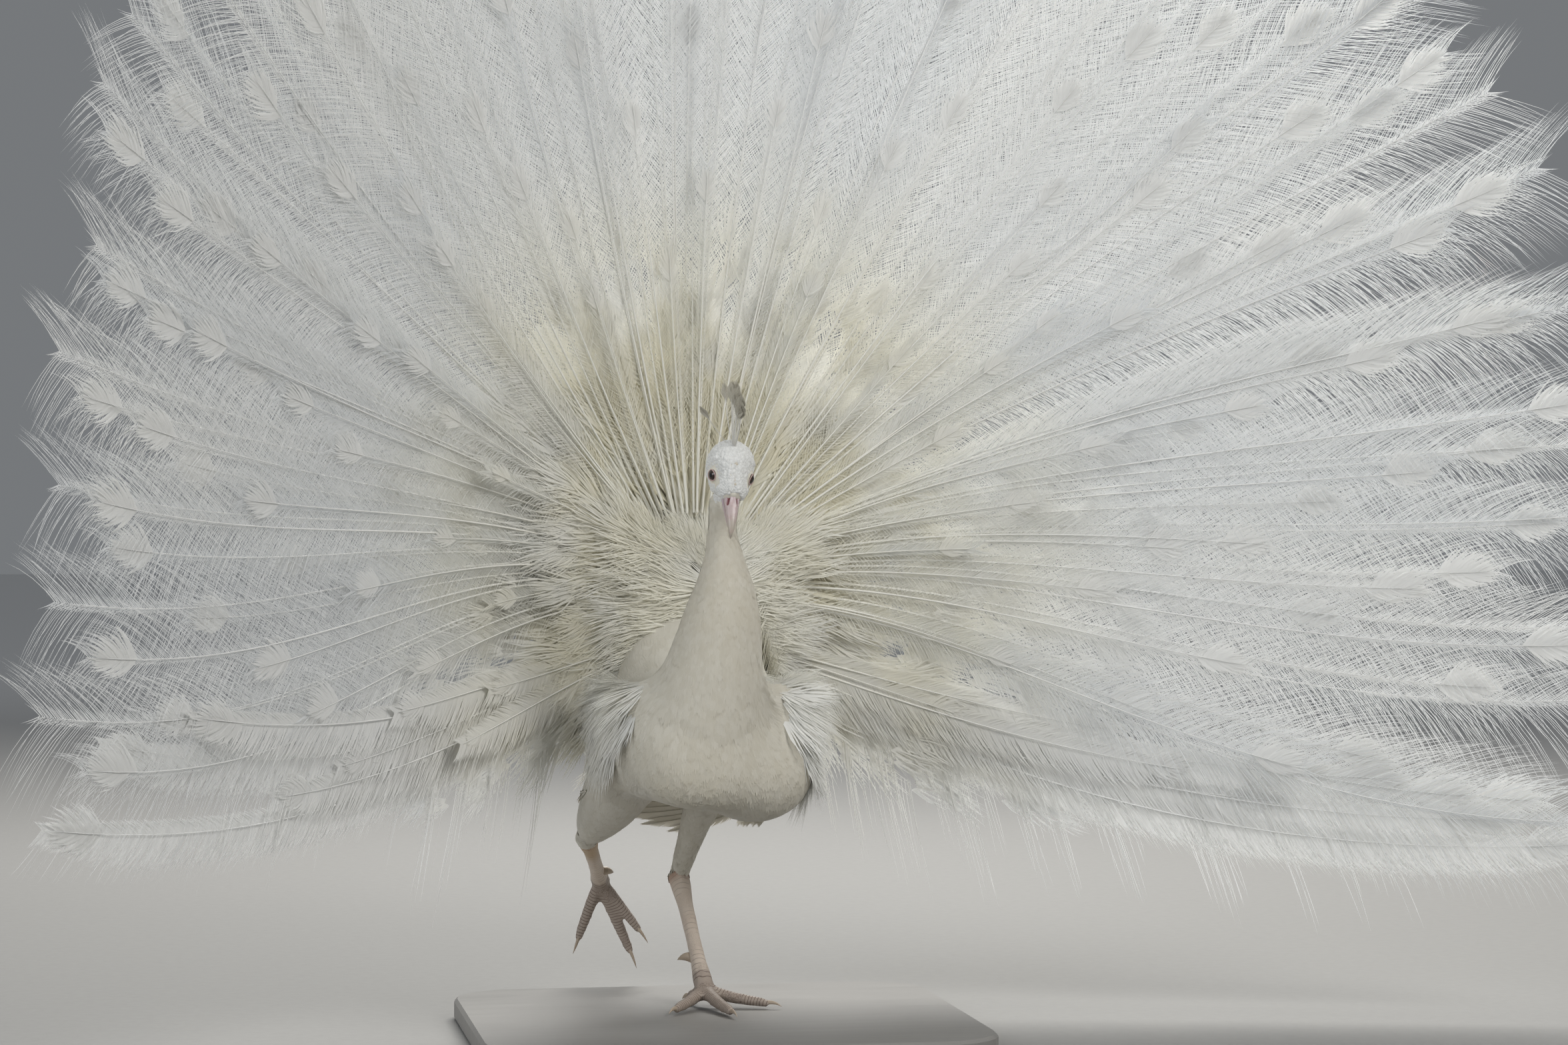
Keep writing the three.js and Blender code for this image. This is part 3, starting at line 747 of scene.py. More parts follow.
def joined_flesh():
    """The solids of flesh as one closed mesh, and for each of its points the name of the solid it is on."""
    whole = bmesh.new()
    owners = []
    for name in [*FLESH, "eye_left", "eye_right"]:
        whole.from_mesh(nodes[name].data)
        owners += [name if name in FLESH else "head"] * (len(whole.faces) - len(owners))
    # soft lobes that fill out the breast and join it to the bend and the lower edge of each wing
    for owner, place, size in LOBES:
        shape = Matrix.LocRotScale(Vector(in_bird(place)), None, Vector(size) * MM)
        bmesh.ops.create_icosphere(whole, subdivisions=4, radius=1.0, matrix=shape)
        owners += [owner] * (len(whole.faces) - len(owners))
    bmesh.ops.remove_doubles(whole, verts=whole.verts, dist=1e-6)
    whole.faces.ensure_lookup_table()
    whole.normal_update()
    for vertex in whole.verts:
        vertex.co += vertex.normal * SWELL
    tree = BVHTree.FromBMesh(whole)
    mesh = bpy.data.meshes.new("flesh")
    whole.to_mesh(mesh)
    whole.free()
    body = bpy.data.objects.new("skin", mesh)
    bpy.context.scene.collection.objects.link(body)
    join = body.modifiers.new("join", "REMESH")
    join.mode = "VOXEL"
    join.voxel_size = VOXEL
    done = bpy.data.meshes.new_from_object(body.evaluated_get(bpy.context.evaluated_depsgraph_get()))
    body.modifiers.clear()
    body.data = done
    done.name = "skin"
    on = [owners[tree.find_nearest(vertex.co)[2]] for vertex in done.vertices]
    return body, np.array(on)


def refine(mesh, wanted):
    """Halves the edges of the faces whose middles are wanted."""
    whole = bmesh.new()
    whole.from_mesh(mesh)
    chosen = wanted(np.array([face.calc_center_median() for face in whole.faces]))
    edges = {edge for face, take in zip(whole.faces, chosen) if take for edge in face.edges}
    bmesh.ops.subdivide_edges(whole, edges=list(edges), cuts=1, use_grid_fill=True)
    whole.to_mesh(mesh)
    whole.free()
    mesh.update()


def on_face(points):
    x, forward, up = to_head(points).T
    return (np.hypot(x, up) < 30) & (forward > -22) & (forward < 40)


def on_bare_leg(points):
    bare = np.zeros(len(points), bool)
    for _, hock, foot in LEGS.values():
        share, _, _, away = near_line(points, np.array([hock, foot]))
        bare |= (away < LEG_RADIUS) & (share > 0.0)
        bare |= norm(points - foot) < FOOT_REACH
    return bare


CLAWS = [name for name in nodes if name.startswith("claw_")]


def claw_shape(name):
    """The middle of a claw's or spur's base, its direction, its length and how wide its base is."""
    hock, foot = LEGS["left" if "left" in name else "right"][1:]
    places = get_places(nodes[name].data)
    away = norm(places - foot)
    if "spur" in name:
        away = near_line(places, np.array([hock, foot]))[3]
    ring = places[away < away.min() + 1.5 * MM]
    base, tip = ring.mean(0), places[away.argmax()]
    return base, unit(tip - base), np.linalg.norm(tip - base), norm(ring - base).max()


def shape_head(places, normals):
    """The folds of the face: brow, forehead crease, eye sockets and the corners of the mouth."""
    local = to_head(places)
    x, forward, up = local.T
    mirrored = np.stack([np.abs(x), forward, up], 1)
    nose = smooth_step(forward, 15, 26) * smooth_step(up, -8, 0) * smooth_step(forward, 48, 40)
    places = places + (head_direction(0, 1, -0.1) * 6.5 * MM) * (nose * on_face(places))[:, None]
    rise = sum(high * bell(near_segment(mirrored, a, b), width) for high, a, b, width in FOLDS)
    rise += 3.0 * bell(norm(mirrored - [13.5, 14, -8]), 8.0)  # cheek
    for knob in rng.uniform([-22, -16, -10], [22, 26, 24], (KNOBS, 3)):
        rise += 0.55 * np.exp(-(((local - knob) ** 2).sum(1) / 3.2)) * (forward < 25)
    near = (np.abs(x) < 40) & on_face(places)
    places = places + normals * (rise * near * MM)[:, None]
    local = to_head(places)
    for hand in (-1, 1):
        from_eye = local - EYE_AT * [hand, 1, 1]
        away = norm(from_eye)
        gaze = gaze_of(hand)
        angle = np.arccos(np.clip(from_eye @ gaze / away, -1, 1))
        inside = smooth_step(angle, EYE_OPENING + 0.10, EYE_OPENING - 0.06)
        lid = smooth_step(angle, EYE_OPENING + 0.75, EYE_OPENING + 0.15)
        wanted = np.where(inside > 0, EYE_RADIUS + 0.7 - 2.2 * inside, EYE_RADIUS + 0.7)
        share = np.where(away < 14, np.maximum(lid, inside), 0)
        local = local + from_eye / away[:, None] * (share * (wanted - away))[:, None]
    return np.where(near[:, None], on_head(local), places)


def leg_marks(places):
    """For each point: whether it is on a bare leg, metres from the hock, and whether it is on the toes."""
    bare, along, toe = np.zeros(len(places)), np.zeros(len(places)), np.zeros(len(places))
    for _, hock, foot in LEGS.values():
        share, _, _, away = near_line(places, np.array([hock, foot]))
        reach = np.linalg.norm(foot - hock)
        out = norm(places - foot)
        below = (places - hock) @ unit(foot - hock)
        here = ((away < LEG_RADIUS) & (below > -5 * MM)) | (out < FOOT_REACH)
        start = smooth_step(below, -4 * MM, 6 * MM)
        bare = np.where(here, np.maximum(start, out < 0.7 * reach), bare)
        on_toe = here & ((out < 16 * MM) | (away > 15 * MM))
        along = np.where(here, np.where(on_toe, reach + out, share * reach), along)
        toe = np.where(on_toe, 1.0, toe)
    return bare, along, toe


def point_attribute(mesh, name, values):
    layer = mesh.attributes.new(name, "FLOAT", "POINT")
    layer.data.foreach_set("value", np.asarray(values, np.float32))


def even_out(mesh, owner):
    """Smooths the joined solids where they are of flesh, and sinks their surface by the coat's depth."""
    edges = get_edges(mesh)
    ease = np.array([FLESH[name][0] for name in owner])
    depth = np.array([FLESH[name][1] for name in owner])[:, None] * MM
    even = np.full(len(owner), 0.5)
    ease = relax(ease[:, None], edges, even, 4)[:, 0]
    depth = relax(depth, edges, even, 6)
    set_places(mesh, relax(get_places(mesh), edges, 0.6 * ease, 30, 1.009))
    # the breast, the wings' bends and the flanks are smoothed further
    _, y, z = ((get_places(mesh) - BIRD_AT) / MM).T
    crop = smooth_step(z, 160, 215) * smooth_step(z, 390, 330) * smooth_step(y, 70, 10)
    before, normals = get_places(mesh), get_normals(mesh)
    after = relax(before, edges, 0.7 * ease * crop, 240)
    lost = ((before - after) * normals).sum(1)[:, None]
    lost = relax(lost, edges, even, 160)  # what the smoothing takes away is given back evenly
    set_places(mesh, after)
    set_places(mesh, after + get_normals(mesh) * lost)
    z = (get_places(mesh)[:, 2:] - BIRD_AT[2]) / MM
    slim = 2.6 * MM * smooth_step(z, 360, 420) * smooth_step(z, 478, 455)  # the neck's upper half
    set_places(mesh, get_places(mesh) - get_normals(mesh) * (depth + SWELL + slim))


def stretch_toes(mesh):
    """Draws the skin at each toe's end a little over its claw."""
    places = get_places(mesh)
    for name in CLAWS:
        base, axis, _, _ = claw_shape(name)
        away = norm(places - base)
        places = places + axis * (3.2 * MM * smooth_step(away, 15 * MM, 4 * MM))[:, None]
    set_places(mesh, places)


def make_skin(material):
    """One closed skin instead of the solids of flesh."""
    skin, owner = joined_flesh()
    mesh = skin.data
    even_out(mesh, owner)
    refine(mesh, lambda middle: on_face(middle) | on_bare_leg(middle))
    refine(mesh, on_face)
    places = get_places(mesh)
    fine = (on_face(places) | on_bare_leg(places)).astype(float)
    set_places(mesh, relax(places, get_edges(mesh), 0.4 * fine, 3))
    set_places(mesh, shape_head(get_places(mesh), get_normals(mesh)))
    stretch_toes(mesh)
    bare, along, toe = leg_marks(get_places(mesh))
    smooth = relax(np.stack([bare, toe], 1), get_edges(mesh), np.full(len(bare), 0.5), 3)
    for name, values in (("bare", smooth[:, 0]), ("toe", smooth[:, 1]), ("along", along)):
        point_attribute(mesh, name, values)
    mesh.materials.clear()
    mesh.materials.append(material)
    mesh.shade_smooth()
    return wear(skin, "plumage", *FLESH)


# ---- the coat
def tree_of(mesh):
    whole = bmesh.new()
    whole.from_mesh(mesh)
    tree = BVHTree.FromBMesh(whole)
    whole.free()
    return tree


def hug(tree, points, clear, share):
    """The points, brought by their share to the height clear above the skin."""
    flat = points.reshape(-1, 3).copy()
    clear, share = (np.broadcast_to(v, points.shape[:-1]).ravel() for v in (clear, share))
    for i in np.flatnonzero(share > 0.02):
        near, normal, _, _ = tree.find_nearest(flat[i])
        flat[i] += share[i] * (np.array(near) + np.array(normal) * clear[i] - flat[i])
    return flat.reshape(points.shape)


PLUME_STATIONS = 3  # points along each barb of a body feather


def plumes(plumage, root, lie, normal, length, width, rise, home, shade, count, fill, fray,
           tree=None, tight=0.0):
    """Small body feathers, each of count barbs that fan from its root. fill is the share of a feather's
    width that its barbs fill, and fray how far their tips stray. With a tree of the skin, each feather
    follows the skin by its share tight."""
    n = len(root)
    f = np.linspace(-1, 1, count)[None] + rng.normal(0, 0.05, (n, count))
    side = np.cross(normal, lie)
    length, width, rise = (np.broadcast_to(v, n)[:, None, None] for v in (length, width, rise))
    start = root[:, None] + lie[:, None] * length * (0.10 * (1 - np.abs(f)))[..., None]
    start = start + side[:, None] * width * (0.14 * f)[..., None]
    reach = (1 - 0.30 * f**2 + rng.normal(0, 0.05, (n, count)))[..., None]
    middle = root[:, None] + lie[:, None] * length * 0.5 * reach
    middle = middle + side[:, None] * width * (0.44 * f)[..., None]
    middle = middle + normal[:, None] * rise * (1 - 0.35 * f**2)[..., None]
    end = root[:, None] + lie[:, None] * length * reach + side[:, None] * width * (0.5 * f)[..., None]
    end = end + normal[:, None] * rise * 0.5 * (1 - 0.8 * f**2)[..., None]
    middle = middle + length * 0.4 * fray * rng.normal(0, 1, middle.shape)
    end = end + length * fray * rng.normal(0, 1, end.shape)
    if tree:
        tight = np.asarray(tight)[:, None]
        middle = hug(tree, middle, (rise * (1 - 0.35 * f[..., None] ** 2))[..., 0], tight)
        end = hug(tree, end, (rise * 0.7 * (1 - 0.7 * f[..., None] ** 2))[..., 0], tight)
    t = np.linspace(0, 1, PLUME_STATIONS)[:, None]
    line = start[:, :, None] * (1 - t) ** 2 + middle[:, :, None] * 2 * t * (1 - t) + end[:, :, None] * t * t
    half = width / count * fill * (1 - 0.37 * t[:-1, 0]) * np.ones((n, count, 1))
    bank = normal[:, None] + side[:, None] * (0.14 * f)[..., None]
    shine = np.repeat(unit(bank)[:, :, None], PLUME_STATIONS, 2)
    heading = unit(np.diff(line, axis=2))
    wide = unit(np.cross(shine[:, :, :-1], heading))
    m = n * count
    line, wide, shine = (rows.reshape(m, -1, 3) for rows in (line, wide, shine))
    shade = np.clip(np.repeat(shade, count) + rng.normal(0, 0.12, m), 0, 1)
    plumage.ribbons(line, half.reshape(m, -1), wide, np.repeat(home, count, 0), shade, shine)
def soft_plumes(plumage, root, lie, normal, length, width, rise, home, darkest, count, fill):
    """Loose, frayed feathers. width and rise are shares of their length."""
    shade = rng.uniform(0, darkest, len(root))
    width, rise = length * width, length * rise
    plumes(plumage, root, lie, normal, length, width, rise, home, shade, count, fill, 0.05)
def thin_out(points, size):
    """Indices of points about size apart: one to each cell of a grid whose cells are that wide."""
    order = rng.permutation(len(points))
    cells = np.floor(points[order] / size[order, None]).astype(int)
    cells = np.concatenate([cells, np.round(size[order, None] * 1e5).astype(int)], 1)
    _, first = np.unique(cells, axis=0, return_index=True)
    return order[first]


COAT_PLACES, FLANK_PLACES, HEAD_PLACES = 60000, 4000, 40000  # random places, before they are thinned
FEATHER_SIZES = np.array([1.2, 1.6, 2.2, 3.0, 4.0, 5.2, 6.6, 8.4]) * MM  # a feather's space, in steps


def spread_over(mesh, chosen, size, count):
    """Random places on the chosen faces, thinned to about their size apart, with the skin's normals there."""
    mesh.calc_loop_triangles()
    corners = read(mesh.loop_triangles, "vertices", 3, np.int32)
    places, normals = get_places(mesh), get_normals(mesh)
    corners = corners[chosen(places[corners].mean(1))]
    a, b, c = (places[corners[:, k]] for k in range(3))
    area = norm(np.cross(b - a, c - a))
    pick = rng.choice(len(corners), count, p=area / area.sum())
    u = np.sqrt(rng.uniform(0, 1, (count, 1)))
    v = rng.uniform(0, 1, (count, 1))
    weights = (1 - u, u * (1 - v), u * v)
    at = sum(w * places[corners[pick, k]] for k, w in enumerate(weights))
    facing = unit(sum(w * normals[corners[pick, k]] for k, w in enumerate(weights)))
    ratio = np.log((size(at) * MM)[:, None] / FEATHER_SIZES) + rng.normal(0, 0.05, (count, 1))
    spacing = FEATHER_SIZES[np.abs(ratio).argmin(1)]
    keep = thin_out(at, spacing)
    return at[keep], facing[keep], spacing[keep]


def thigh_marks(points):
    """For each leg: which points are on its thigh, how far down it they are, and its direction."""
    for knee, hock, _ in LEGS.values():
        down, _, direction, away = near_line(points, np.array([knee, hock]))
        yield (away < THIGH_RADIUS) & (down > 0.25), down, direction


def not_leg(points):
    return (leg_marks(points)[0] < 0.3) & ~on_face(points)


def make_coat(skin, material):
    """Feathers over neck, breast, back and thighs, in pieces of less than 200,000 triangles."""

    def size(points):
        share = near_line(points, SPINE)[0]
        wide = np.interp(share, [0, 0.35, 0.55, 0.66, 0.85, 1.0], [7.2, 7.2, 5.8, 4.8, 3.4, 2.6])
        for here, _, _ in thigh_marks(points):
            wide = np.where(here, 4.6, wide)
        return wide

    tree = tree_of(skin.data)
    at, normal, spacing = spread_over(skin.data, not_leg, size, COAT_PLACES)
    share = near_line(at, SPINE)[0]
    lie = lie_at(at, normal)
    length = spacing * np.interp(share, [0, 0.5, 0.7, 1], [3.4, 3.1, 2.9, 2.6])
    on_thigh = np.zeros(len(at), bool)
    for here, down, direction in thigh_marks(at):
        lie = np.where(here[:, None], tangent_of(direction + 0.3 * lie, normal), lie)
        length = np.where(here, 12 * MM * (1 - 0.4 * down), length)
        on_thigh |= here
    lie = tangent_of(lie + rng.normal(0, 0.10, lie.shape), normal)
    # those beside the breast are longer, and cover the wings' bends
    for hand in (-1, 1):
        bend = norm(at - in_bird((WING_MIDDLE + 82 * hand, -72, 285)))
        length = length * (1 + 1.1 * bell(bend, 38 * MM))
    # those on the rump are longer and stand out a little, and those of the keel are shorter
    rump = smooth_step(share, 0.36, 0.14)
    keel = norm(at - in_bird((22, -84, 182)))
    length = length * (1 + 0.7 * rump) * (1 - 0.5 * bell(keel, 30 * MM))
    stand = 0.3 * rump * smooth_step(normal[:, 2], -0.1, 0.6)
    lie = unit(lie + 0.5 * stand[:, None] * normal)
    up = np.cross(np.cross(lie, normal), lie)
    home = home_round(at, SPINE)
    shade = rng.uniform(0, 1, len(at))
    parts = {
        "neck_coat": share > 0.62,
        "breast_coat": (share > 0.40) & (share <= 0.62) & ~on_thigh,
        "back_coat": (share <= 0.40) & ~on_thigh,
        "thigh_coat": (share <= 0.62) & on_thigh,
    }
    for name, here in parts.items():
        plumage = Plumage()
        n = here.sum()
        scale = rng.uniform(0.85, 1.2, n)
        high = np.interp(share[here], [0, 0.4, 0.66, 1], [1.6, 1.2, 0.8, 0.5])
        rise = high * MM * rng.uniform(0.6, 1.4, n)
        wide = spacing[here] * np.interp(share[here], [0.2, 0.6], [2.5, 2.1])
        plumes(plumage, at[here] + normal[here] * 0.3 * MM, lie[here], up[here], length[here] * scale,
               wide * scale, rise, home[here], shade[here], 7, 1.1, 0.02, tree, 1 - stand[here])
        wear(plumage.build(name, material, own_normals=True), "plumage")


FLANK_FOOT, FLANK_TOP = 212, 318  # heights in the bird's frame
REAR_FROM = 84  # how far back the vent starts


def on_flank_or_vent(points):
    """The border between the breast and a flank runs slantwise, in waves."""
    x, y, z = ((points - BIRD_AT) / MM).T
    wider = 0.42 * (317 - z) + 5 * np.sin(z / 5)
    bend = ((x < -74 - wider) | (x > 34 + wider)) & (y < 20) & (z > FLANK_FOOT) & (z < FLANK_TOP)
    return bend | ((y > REAR_FROM) & (z > 225) & (z < 345))


def make_fluff(skin, material):
    """Long soft feathers that lead from the wings' bends and the vent over into the train."""

    def size(points):
        return np.full(len(points), 6.8)

    at, normal, _ = spread_over(skin.data, on_flank_or_vent, size, FLANK_PLACES)
    x, y, _ = ((at - BIRD_AT) / MM).T
    rear = (y > REAR_FROM)[:, None]
    hand = np.sign(x - WING_MIDDLE)[:, None]
    lie = np.where(rear, [0.15, 0.6, 0.9], [0.50, 0.35, -1.0]) * np.where([True, False, False], hand, 1)
    lie = tangent_of(lie + np.where(rear, 0.3, 0.14) * rng.normal(0, 1, at.shape), normal)
    lie = unit(lie + np.where(rear, 0.45, 0.16) * normal)
    front = np.cross(np.cross(lie, normal), lie)
    length = rng.uniform(0.028, 0.050, len(at)) * np.where(rear[:, 0], 1.25, 1.0)
    plumage = Plumage()
    soft_plumes(plumage, at, lie, front, length, 0.62, 0.05, home_round(at, SPINE), 0.3, 13, 0.42)
    wear(plumage.build("flank_feathers", material, own_normals=True), "plumage")


# The rows of a feather of the head from root to tip: how far along, how wide and how high
KNOB_ALONG = np.array([-0.15, 0.25, 0.7, 1.0])
KNOB_WIDE = np.array([0.45, 0.95, 0.85, 0.35])
KNOB_HIGH = np.array([0.0, 0.75, 0.85, 0.1])
# and its columns from side to side: how far across and how much higher
KNOB_ACROSS = np.array([-1.0, -0.5, 0.5, 1.0])
KNOB_CAMBER = np.array([0.0, 0.85, 0.85, 0.0])


def make_head_coat(skin, material):
    """The small knobbly feathers of the head."""

    def wanted(points):
        _, forward, up = to_head(points).T
        clear = on_face(points) & (forward < 33) & ((up > -9) | (forward < 12))
        for hand in (-1, 1):
            from_eye = to_head(points) - EYE_AT * [hand, 1, 1]
            away = norm(from_eye)
            clear &= (away > 17) | (from_eye @ gaze_of(hand) / away < np.cos(EYE_OPENING + 0.38))
        return clear

    def size(points):
        _, forward, up = to_head(points).T
        return np.where((up > 2) & (forward < 20), 1.8, 1.4)

    at, normal, spacing = spread_over(skin.data, wanted, size, HEAD_PLACES)
    n, local = len(at), to_head(at)
    back = head_direction(0, -1, 0) - 0.35 * head_direction(0, 0, 1)
    lie = tangent_of(np.repeat(back[None], n, 0) + rng.normal(0, 0.25, at.shape), normal)
    side = np.cross(normal, lie)
    big = spacing * rng.uniform(0.9, 1.5, n)
    for hand in (-1, 1):
        beside = norm(local - EYE_AT * [hand, 1, 1])
        big = big * (0.45 + 0.55 * smooth_step(beside, 8, 17))
    along, wide, high = (k[:, None] for k in (KNOB_ALONG, KNOB_WIDE, KNOB_HIGH))
    big = big[:, None, None]
    points = (
        at[:, None, None]
        + lie[:, None, None] * (big * 1.45 * along)[..., None]
        + side[:, None, None] * (big * 0.62 * wide * KNOB_ACROSS)[..., None]
        + normal[:, None, None] * (big * 0.50 * (high * (0.25 + KNOB_CAMBER)) - 0.1 * MM)[..., None]
    )
    plumage = Plumage()
    home = home_round(at, np.array([on_head((0, -30, 0)), on_head((0, 30, 0))]))
    mirrored = local * [0, 1, 1] + np.abs(local - [0.6, 0, 0]) * [1, 0, 0]
    crease = smooth_step(near_segment(mirrored, (0, 12, 19), (0, 31, 8)), 2.6, 0.5) * rng.uniform(0.2, 1, n)
    plumage.grids(points, home, rng.uniform(0, 1, n) + crease, np.repeat(normal, 16, 0))
    wear(plumage.build("head_coat", material), "plumage")


# ---- wings, tail and hub
# A closed feather's outline: where along it and how wide; then from where, and how far, its barbs close up
POINTED = ([0, 0.08, 0.4, 0.8, 1.0], [0.25, 0.6, 1.0, 0.95, 0.55], 0.84, 0.85)
BLUNT = ([0, 0.08, 0.4, 0.84, 0.9, 0.95, 0.98, 1.0], [0.25, 0.6, 1.0, 0.96, 0.84, 0.6, 0.38, 0.2], 0.94, 0.4)


def follow(share, at, line):
    """Places at these shares of a line whose points lie at the distances at."""
    return np.stack([np.interp(share, at, line[:, k]) for k in range(3)], 1)


def vane(plumage, line, front, width, pitch, home, tint, lean=38, quill=1.1, gap=0.9, outline=POINTED):
    """A closed feather along a line (k, 3): its shaft, and barbs side by side on both sides of it."""
    line = np.asarray(line)
    reach = np.concatenate([[0], np.cumsum(norm(np.diff(line, axis=0)))])
    fine = np.linspace(0, reach[-1], 14)
    shaft = follow(fine, reach, line)
    shaft = np.concatenate([shaft[:1], (shaft[:-2] + 2 * shaft[1:-1] + shaft[2:]) / 4, shaft[-1:]])
    radii = quill * MM * (1 - 0.8 * np.linspace(0, 1, len(shaft)))
    plumage.tube(shaft + front * 0.6 * MM, radii, 5, home, tint)
    n = max(int(reach[-1] / pitch), 8)
    share = np.linspace(0.04, 1.0, n)
    root = follow(share * reach[-1], fine, shaft)
    out = unit(np.gradient(root, axis=0))
    face = tangent_of(np.broadcast_to(front, root.shape), out)
    across = np.cross(out, face)
    where, wide, close_from, close = outline
    length = width * np.interp(share, where, wide) / np.sin(np.radians(lean))
    homes = np.stack([home[0] + 0 * share, np.clip(home[1] + 0.8 * share * reach[-1], 0, 1)], 1)
    for hand in (-1, 1):
        angle = np.radians(lean) * (1 - close * smooth_step(share, close_from, 1)) + rng.normal(0, 0.02, n)
        shade = np.clip(tint + rng.normal(0, 0.06, n), 0, 1)
        barbs(plumage, root, out, hand * across, face, length, angle, angle * 0.72,
              np.full(n, gap * pitch * 1.25), np.zeros(n), np.full(n, -0.06), homes, shade, 4, 0.06)


# Rows of coverts from the wing's bottom edge upwards, each over the one below: level, width, count, length
COVERTS = [(-0.75, 11, 12, 92), (-0.35, 10, 12, 62), (0.05, 9, 13, 46), (0.40, 8, 14, 36)]
WING_SECTIONS = [  # from front to back: y, how far out, height of the middle and half height
    (-100, 70, 288, 22),
    (-58, 83, 274, 46),
    (12, 91, 250, 52),
    (78, 89, 224, 42),
    (132, 73, 203, 24),
]


def make_wings(skin, material):
    """Rows of coverts that hug each folded wing, and the longer feathers of its lower edge."""
    tree = tree_of(skin.data)
    sections = np.array(WING_SECTIONS, float)
    for hand, name in SIDES:
        plumage = Plumage()
        for row, (level, width, count, length) in enumerate(COVERTS):
            for y in np.linspace(42, 128, count) + rng.normal(0, 2, count):
                out, z, high = follow([y], sections[:, 0], sections[:, 1:])[0]
                start = in_bird((WING_MIDDLE + hand * (out + 5), y, z + high * level))
                ahead = unit(np.array([-hand * 0.12, 1.0, -0.36 + rng.normal(0, 0.03)]))
                reach = np.linspace(0, length * rng.uniform(0.9, 1.1) * MM, 6)
                line, facing = start + ahead * reach[:, None], np.array([hand, 0.0, 0.0])
                for k in range(6):
                    near, normal, _, away = tree.find_nearest(line[k])
                    if away < 16 * MM:
                        clear = (1.2 + 0.9 * row + 0.35 * k) * MM
                        line[k] = np.array(near) + np.array(normal) * clear
                        facing = facing + 0.5 * np.array(normal)
                    elif k:
                        line[k] = line[k - 1] + ahead * (reach[1] - reach[0])
                home = np.array([0.5 + 0.45 * y / 150, 0.3 + 0.4 * level])
                vane(plumage, line, unit(facing), width * MM, 1.5 * MM, home, rng.uniform(0, 0.7), gap=1.1)
        wear(plumage.build(f"wing_{name}_feathers", material, own_normals=True), "plumage")


PRIMARIES = {
    "left": [(72, 98, 218), (50, 150, 188), (-10, 176, 176), (-94, 182, 182)],
    "right": [(-98, 96, 222), (-86, 150, 206), (-50, 196, 202), (-6, 226, 208)],
}


def make_primaries(material):
    """The long flight feathers of each folded wing, stacked under one another."""
    t = np.linspace(0, 1, 9)[:, None]
    weights = ((1 - t) ** 3, 3 * t * (1 - t) ** 2, 3 * t * t * (1 - t), t**3)
    face = unit(np.array([0.0, -0.9, -0.25]))
    for name, line in PRIMARIES.items():
        plumage = Plumage()
        curve = sum(w * p for w, p in zip(weights, in_bird(line)))
        for i in range(7):
            moved = curve + np.array([0, 1.6 * i, -3.2 * i]) * MM * (1 + 0.9 * t)
            moved = moved[: 9 - (i + 1) // 2]
            home = np.array([0.1 + 0.12 * i, 0.1])
            vane(plumage, moved, face, 8 * MM, 1.3 * MM, home, rng.uniform(0, 1), lean=30, quill=1.4)
        piece = plumage.build(f"primaries_{name}_feathers", material, own_normals=True)
        wear(piece, "train", f"primaries_{name}")


TAIL_AT = in_bird((0, 178, 360))
TAIL_HALF = 9  # feathers on each side
TAIL_SPREAD, TAIL_LEAN = np.radians(74), 0.09
TAIL_ROOT, TAIL_LENGTH = 24 * MM, 330 * MM


def make_tail(material):
    """The true tail: stiff feathers spread behind the train."""
    for hand, name in SIDES:
        plumage = Plumage()
        for i in range(TAIL_HALF):
            angle = hand * TAIL_SPREAD * (i + 0.5) / TAIL_HALF
            out = np.array([np.sin(angle), TAIL_LEAN, np.cos(angle)])
            front = unit(np.cross(np.array([np.cos(angle), 0, -np.sin(angle)]), out))
            depth = (1.2 * (i % 2) - 0.6) * MM
            end = TAIL_LENGTH * (1 - 0.012 * i) * rng.uniform(0.96, 1.0)
            line = (out * np.linspace(TAIL_ROOT, end, 9)[:, None]) @ FAN_TURN.T + TAIL_AT + front * depth
            home = np.array([0.5 + 0.45 * angle / TAIL_SPREAD, 0.1])
            face, tint = unit(front @ FAN_TURN.T), rng.uniform(0.2, 1)
            vane(plumage, line, face, 26 * MM, 1.9 * MM, home, tint, 42, 1.8, outline=BLUNT)
        wear(plumage.build(f"tail_{name}_feathers", material, own_normals=True), "train", f"tail_{name}")


HUB_FEATHERS, BESIDE_BODY = 1750, 400  # in all, and how many of them lie close to the body


def make_hub_feathers(material):
    """The back's feathers, which rise between the body and the fan and hide the roots of the train."""
    n, near = HUB_FEATHERS, BESIDE_BODY
    side = rng.uniform(-1, 1, n)
    side[:near] = rng.choice([-1, 1], near) * rng.uniform(0.20, 0.98, near)
    low = smooth_step(np.abs(side), 0.28, 0.72)  # they reach further out beside the body than above it
    far = 0.045 + 0.075 * low + 0.04 * np.clip(rng.normal(0, 1, n), 0, 2) * (0.6 + 0.4 * low)
    t = -0.06 + far * rng.uniform(0, 1, n) ** 1.4
    t[:near] = rng.uniform(-0.115, -0.05, near)
    lift = (37 - 230 * np.clip(t, -0.04, 0.13) + rng.normal(0, 0.8, n)) * MM
    root, across, out, front = fan_frame(side, t, lift)
    lie = unit(out + 0.03 * front + 0.34 * across * rng.normal(0, 1, (n, 1)) - 0.15 * UP * low[:, None])
    normal = tangent_of(front + 0.35 * UP + 0.20 * rng.normal(0, 1, (n, 3)), lie)
    length = (20 + 20 * low) * MM * rng.uniform(0.6, 1.6, n)
    plumage = Plumage()
    soft_plumes(plumage, root, lie, normal, length, 0.6, 0.05, fan_home(side, t), 0.4, 15, 0.31)
    wear(plumage.build("back_feathers", material, own_normals=True), "plumage")


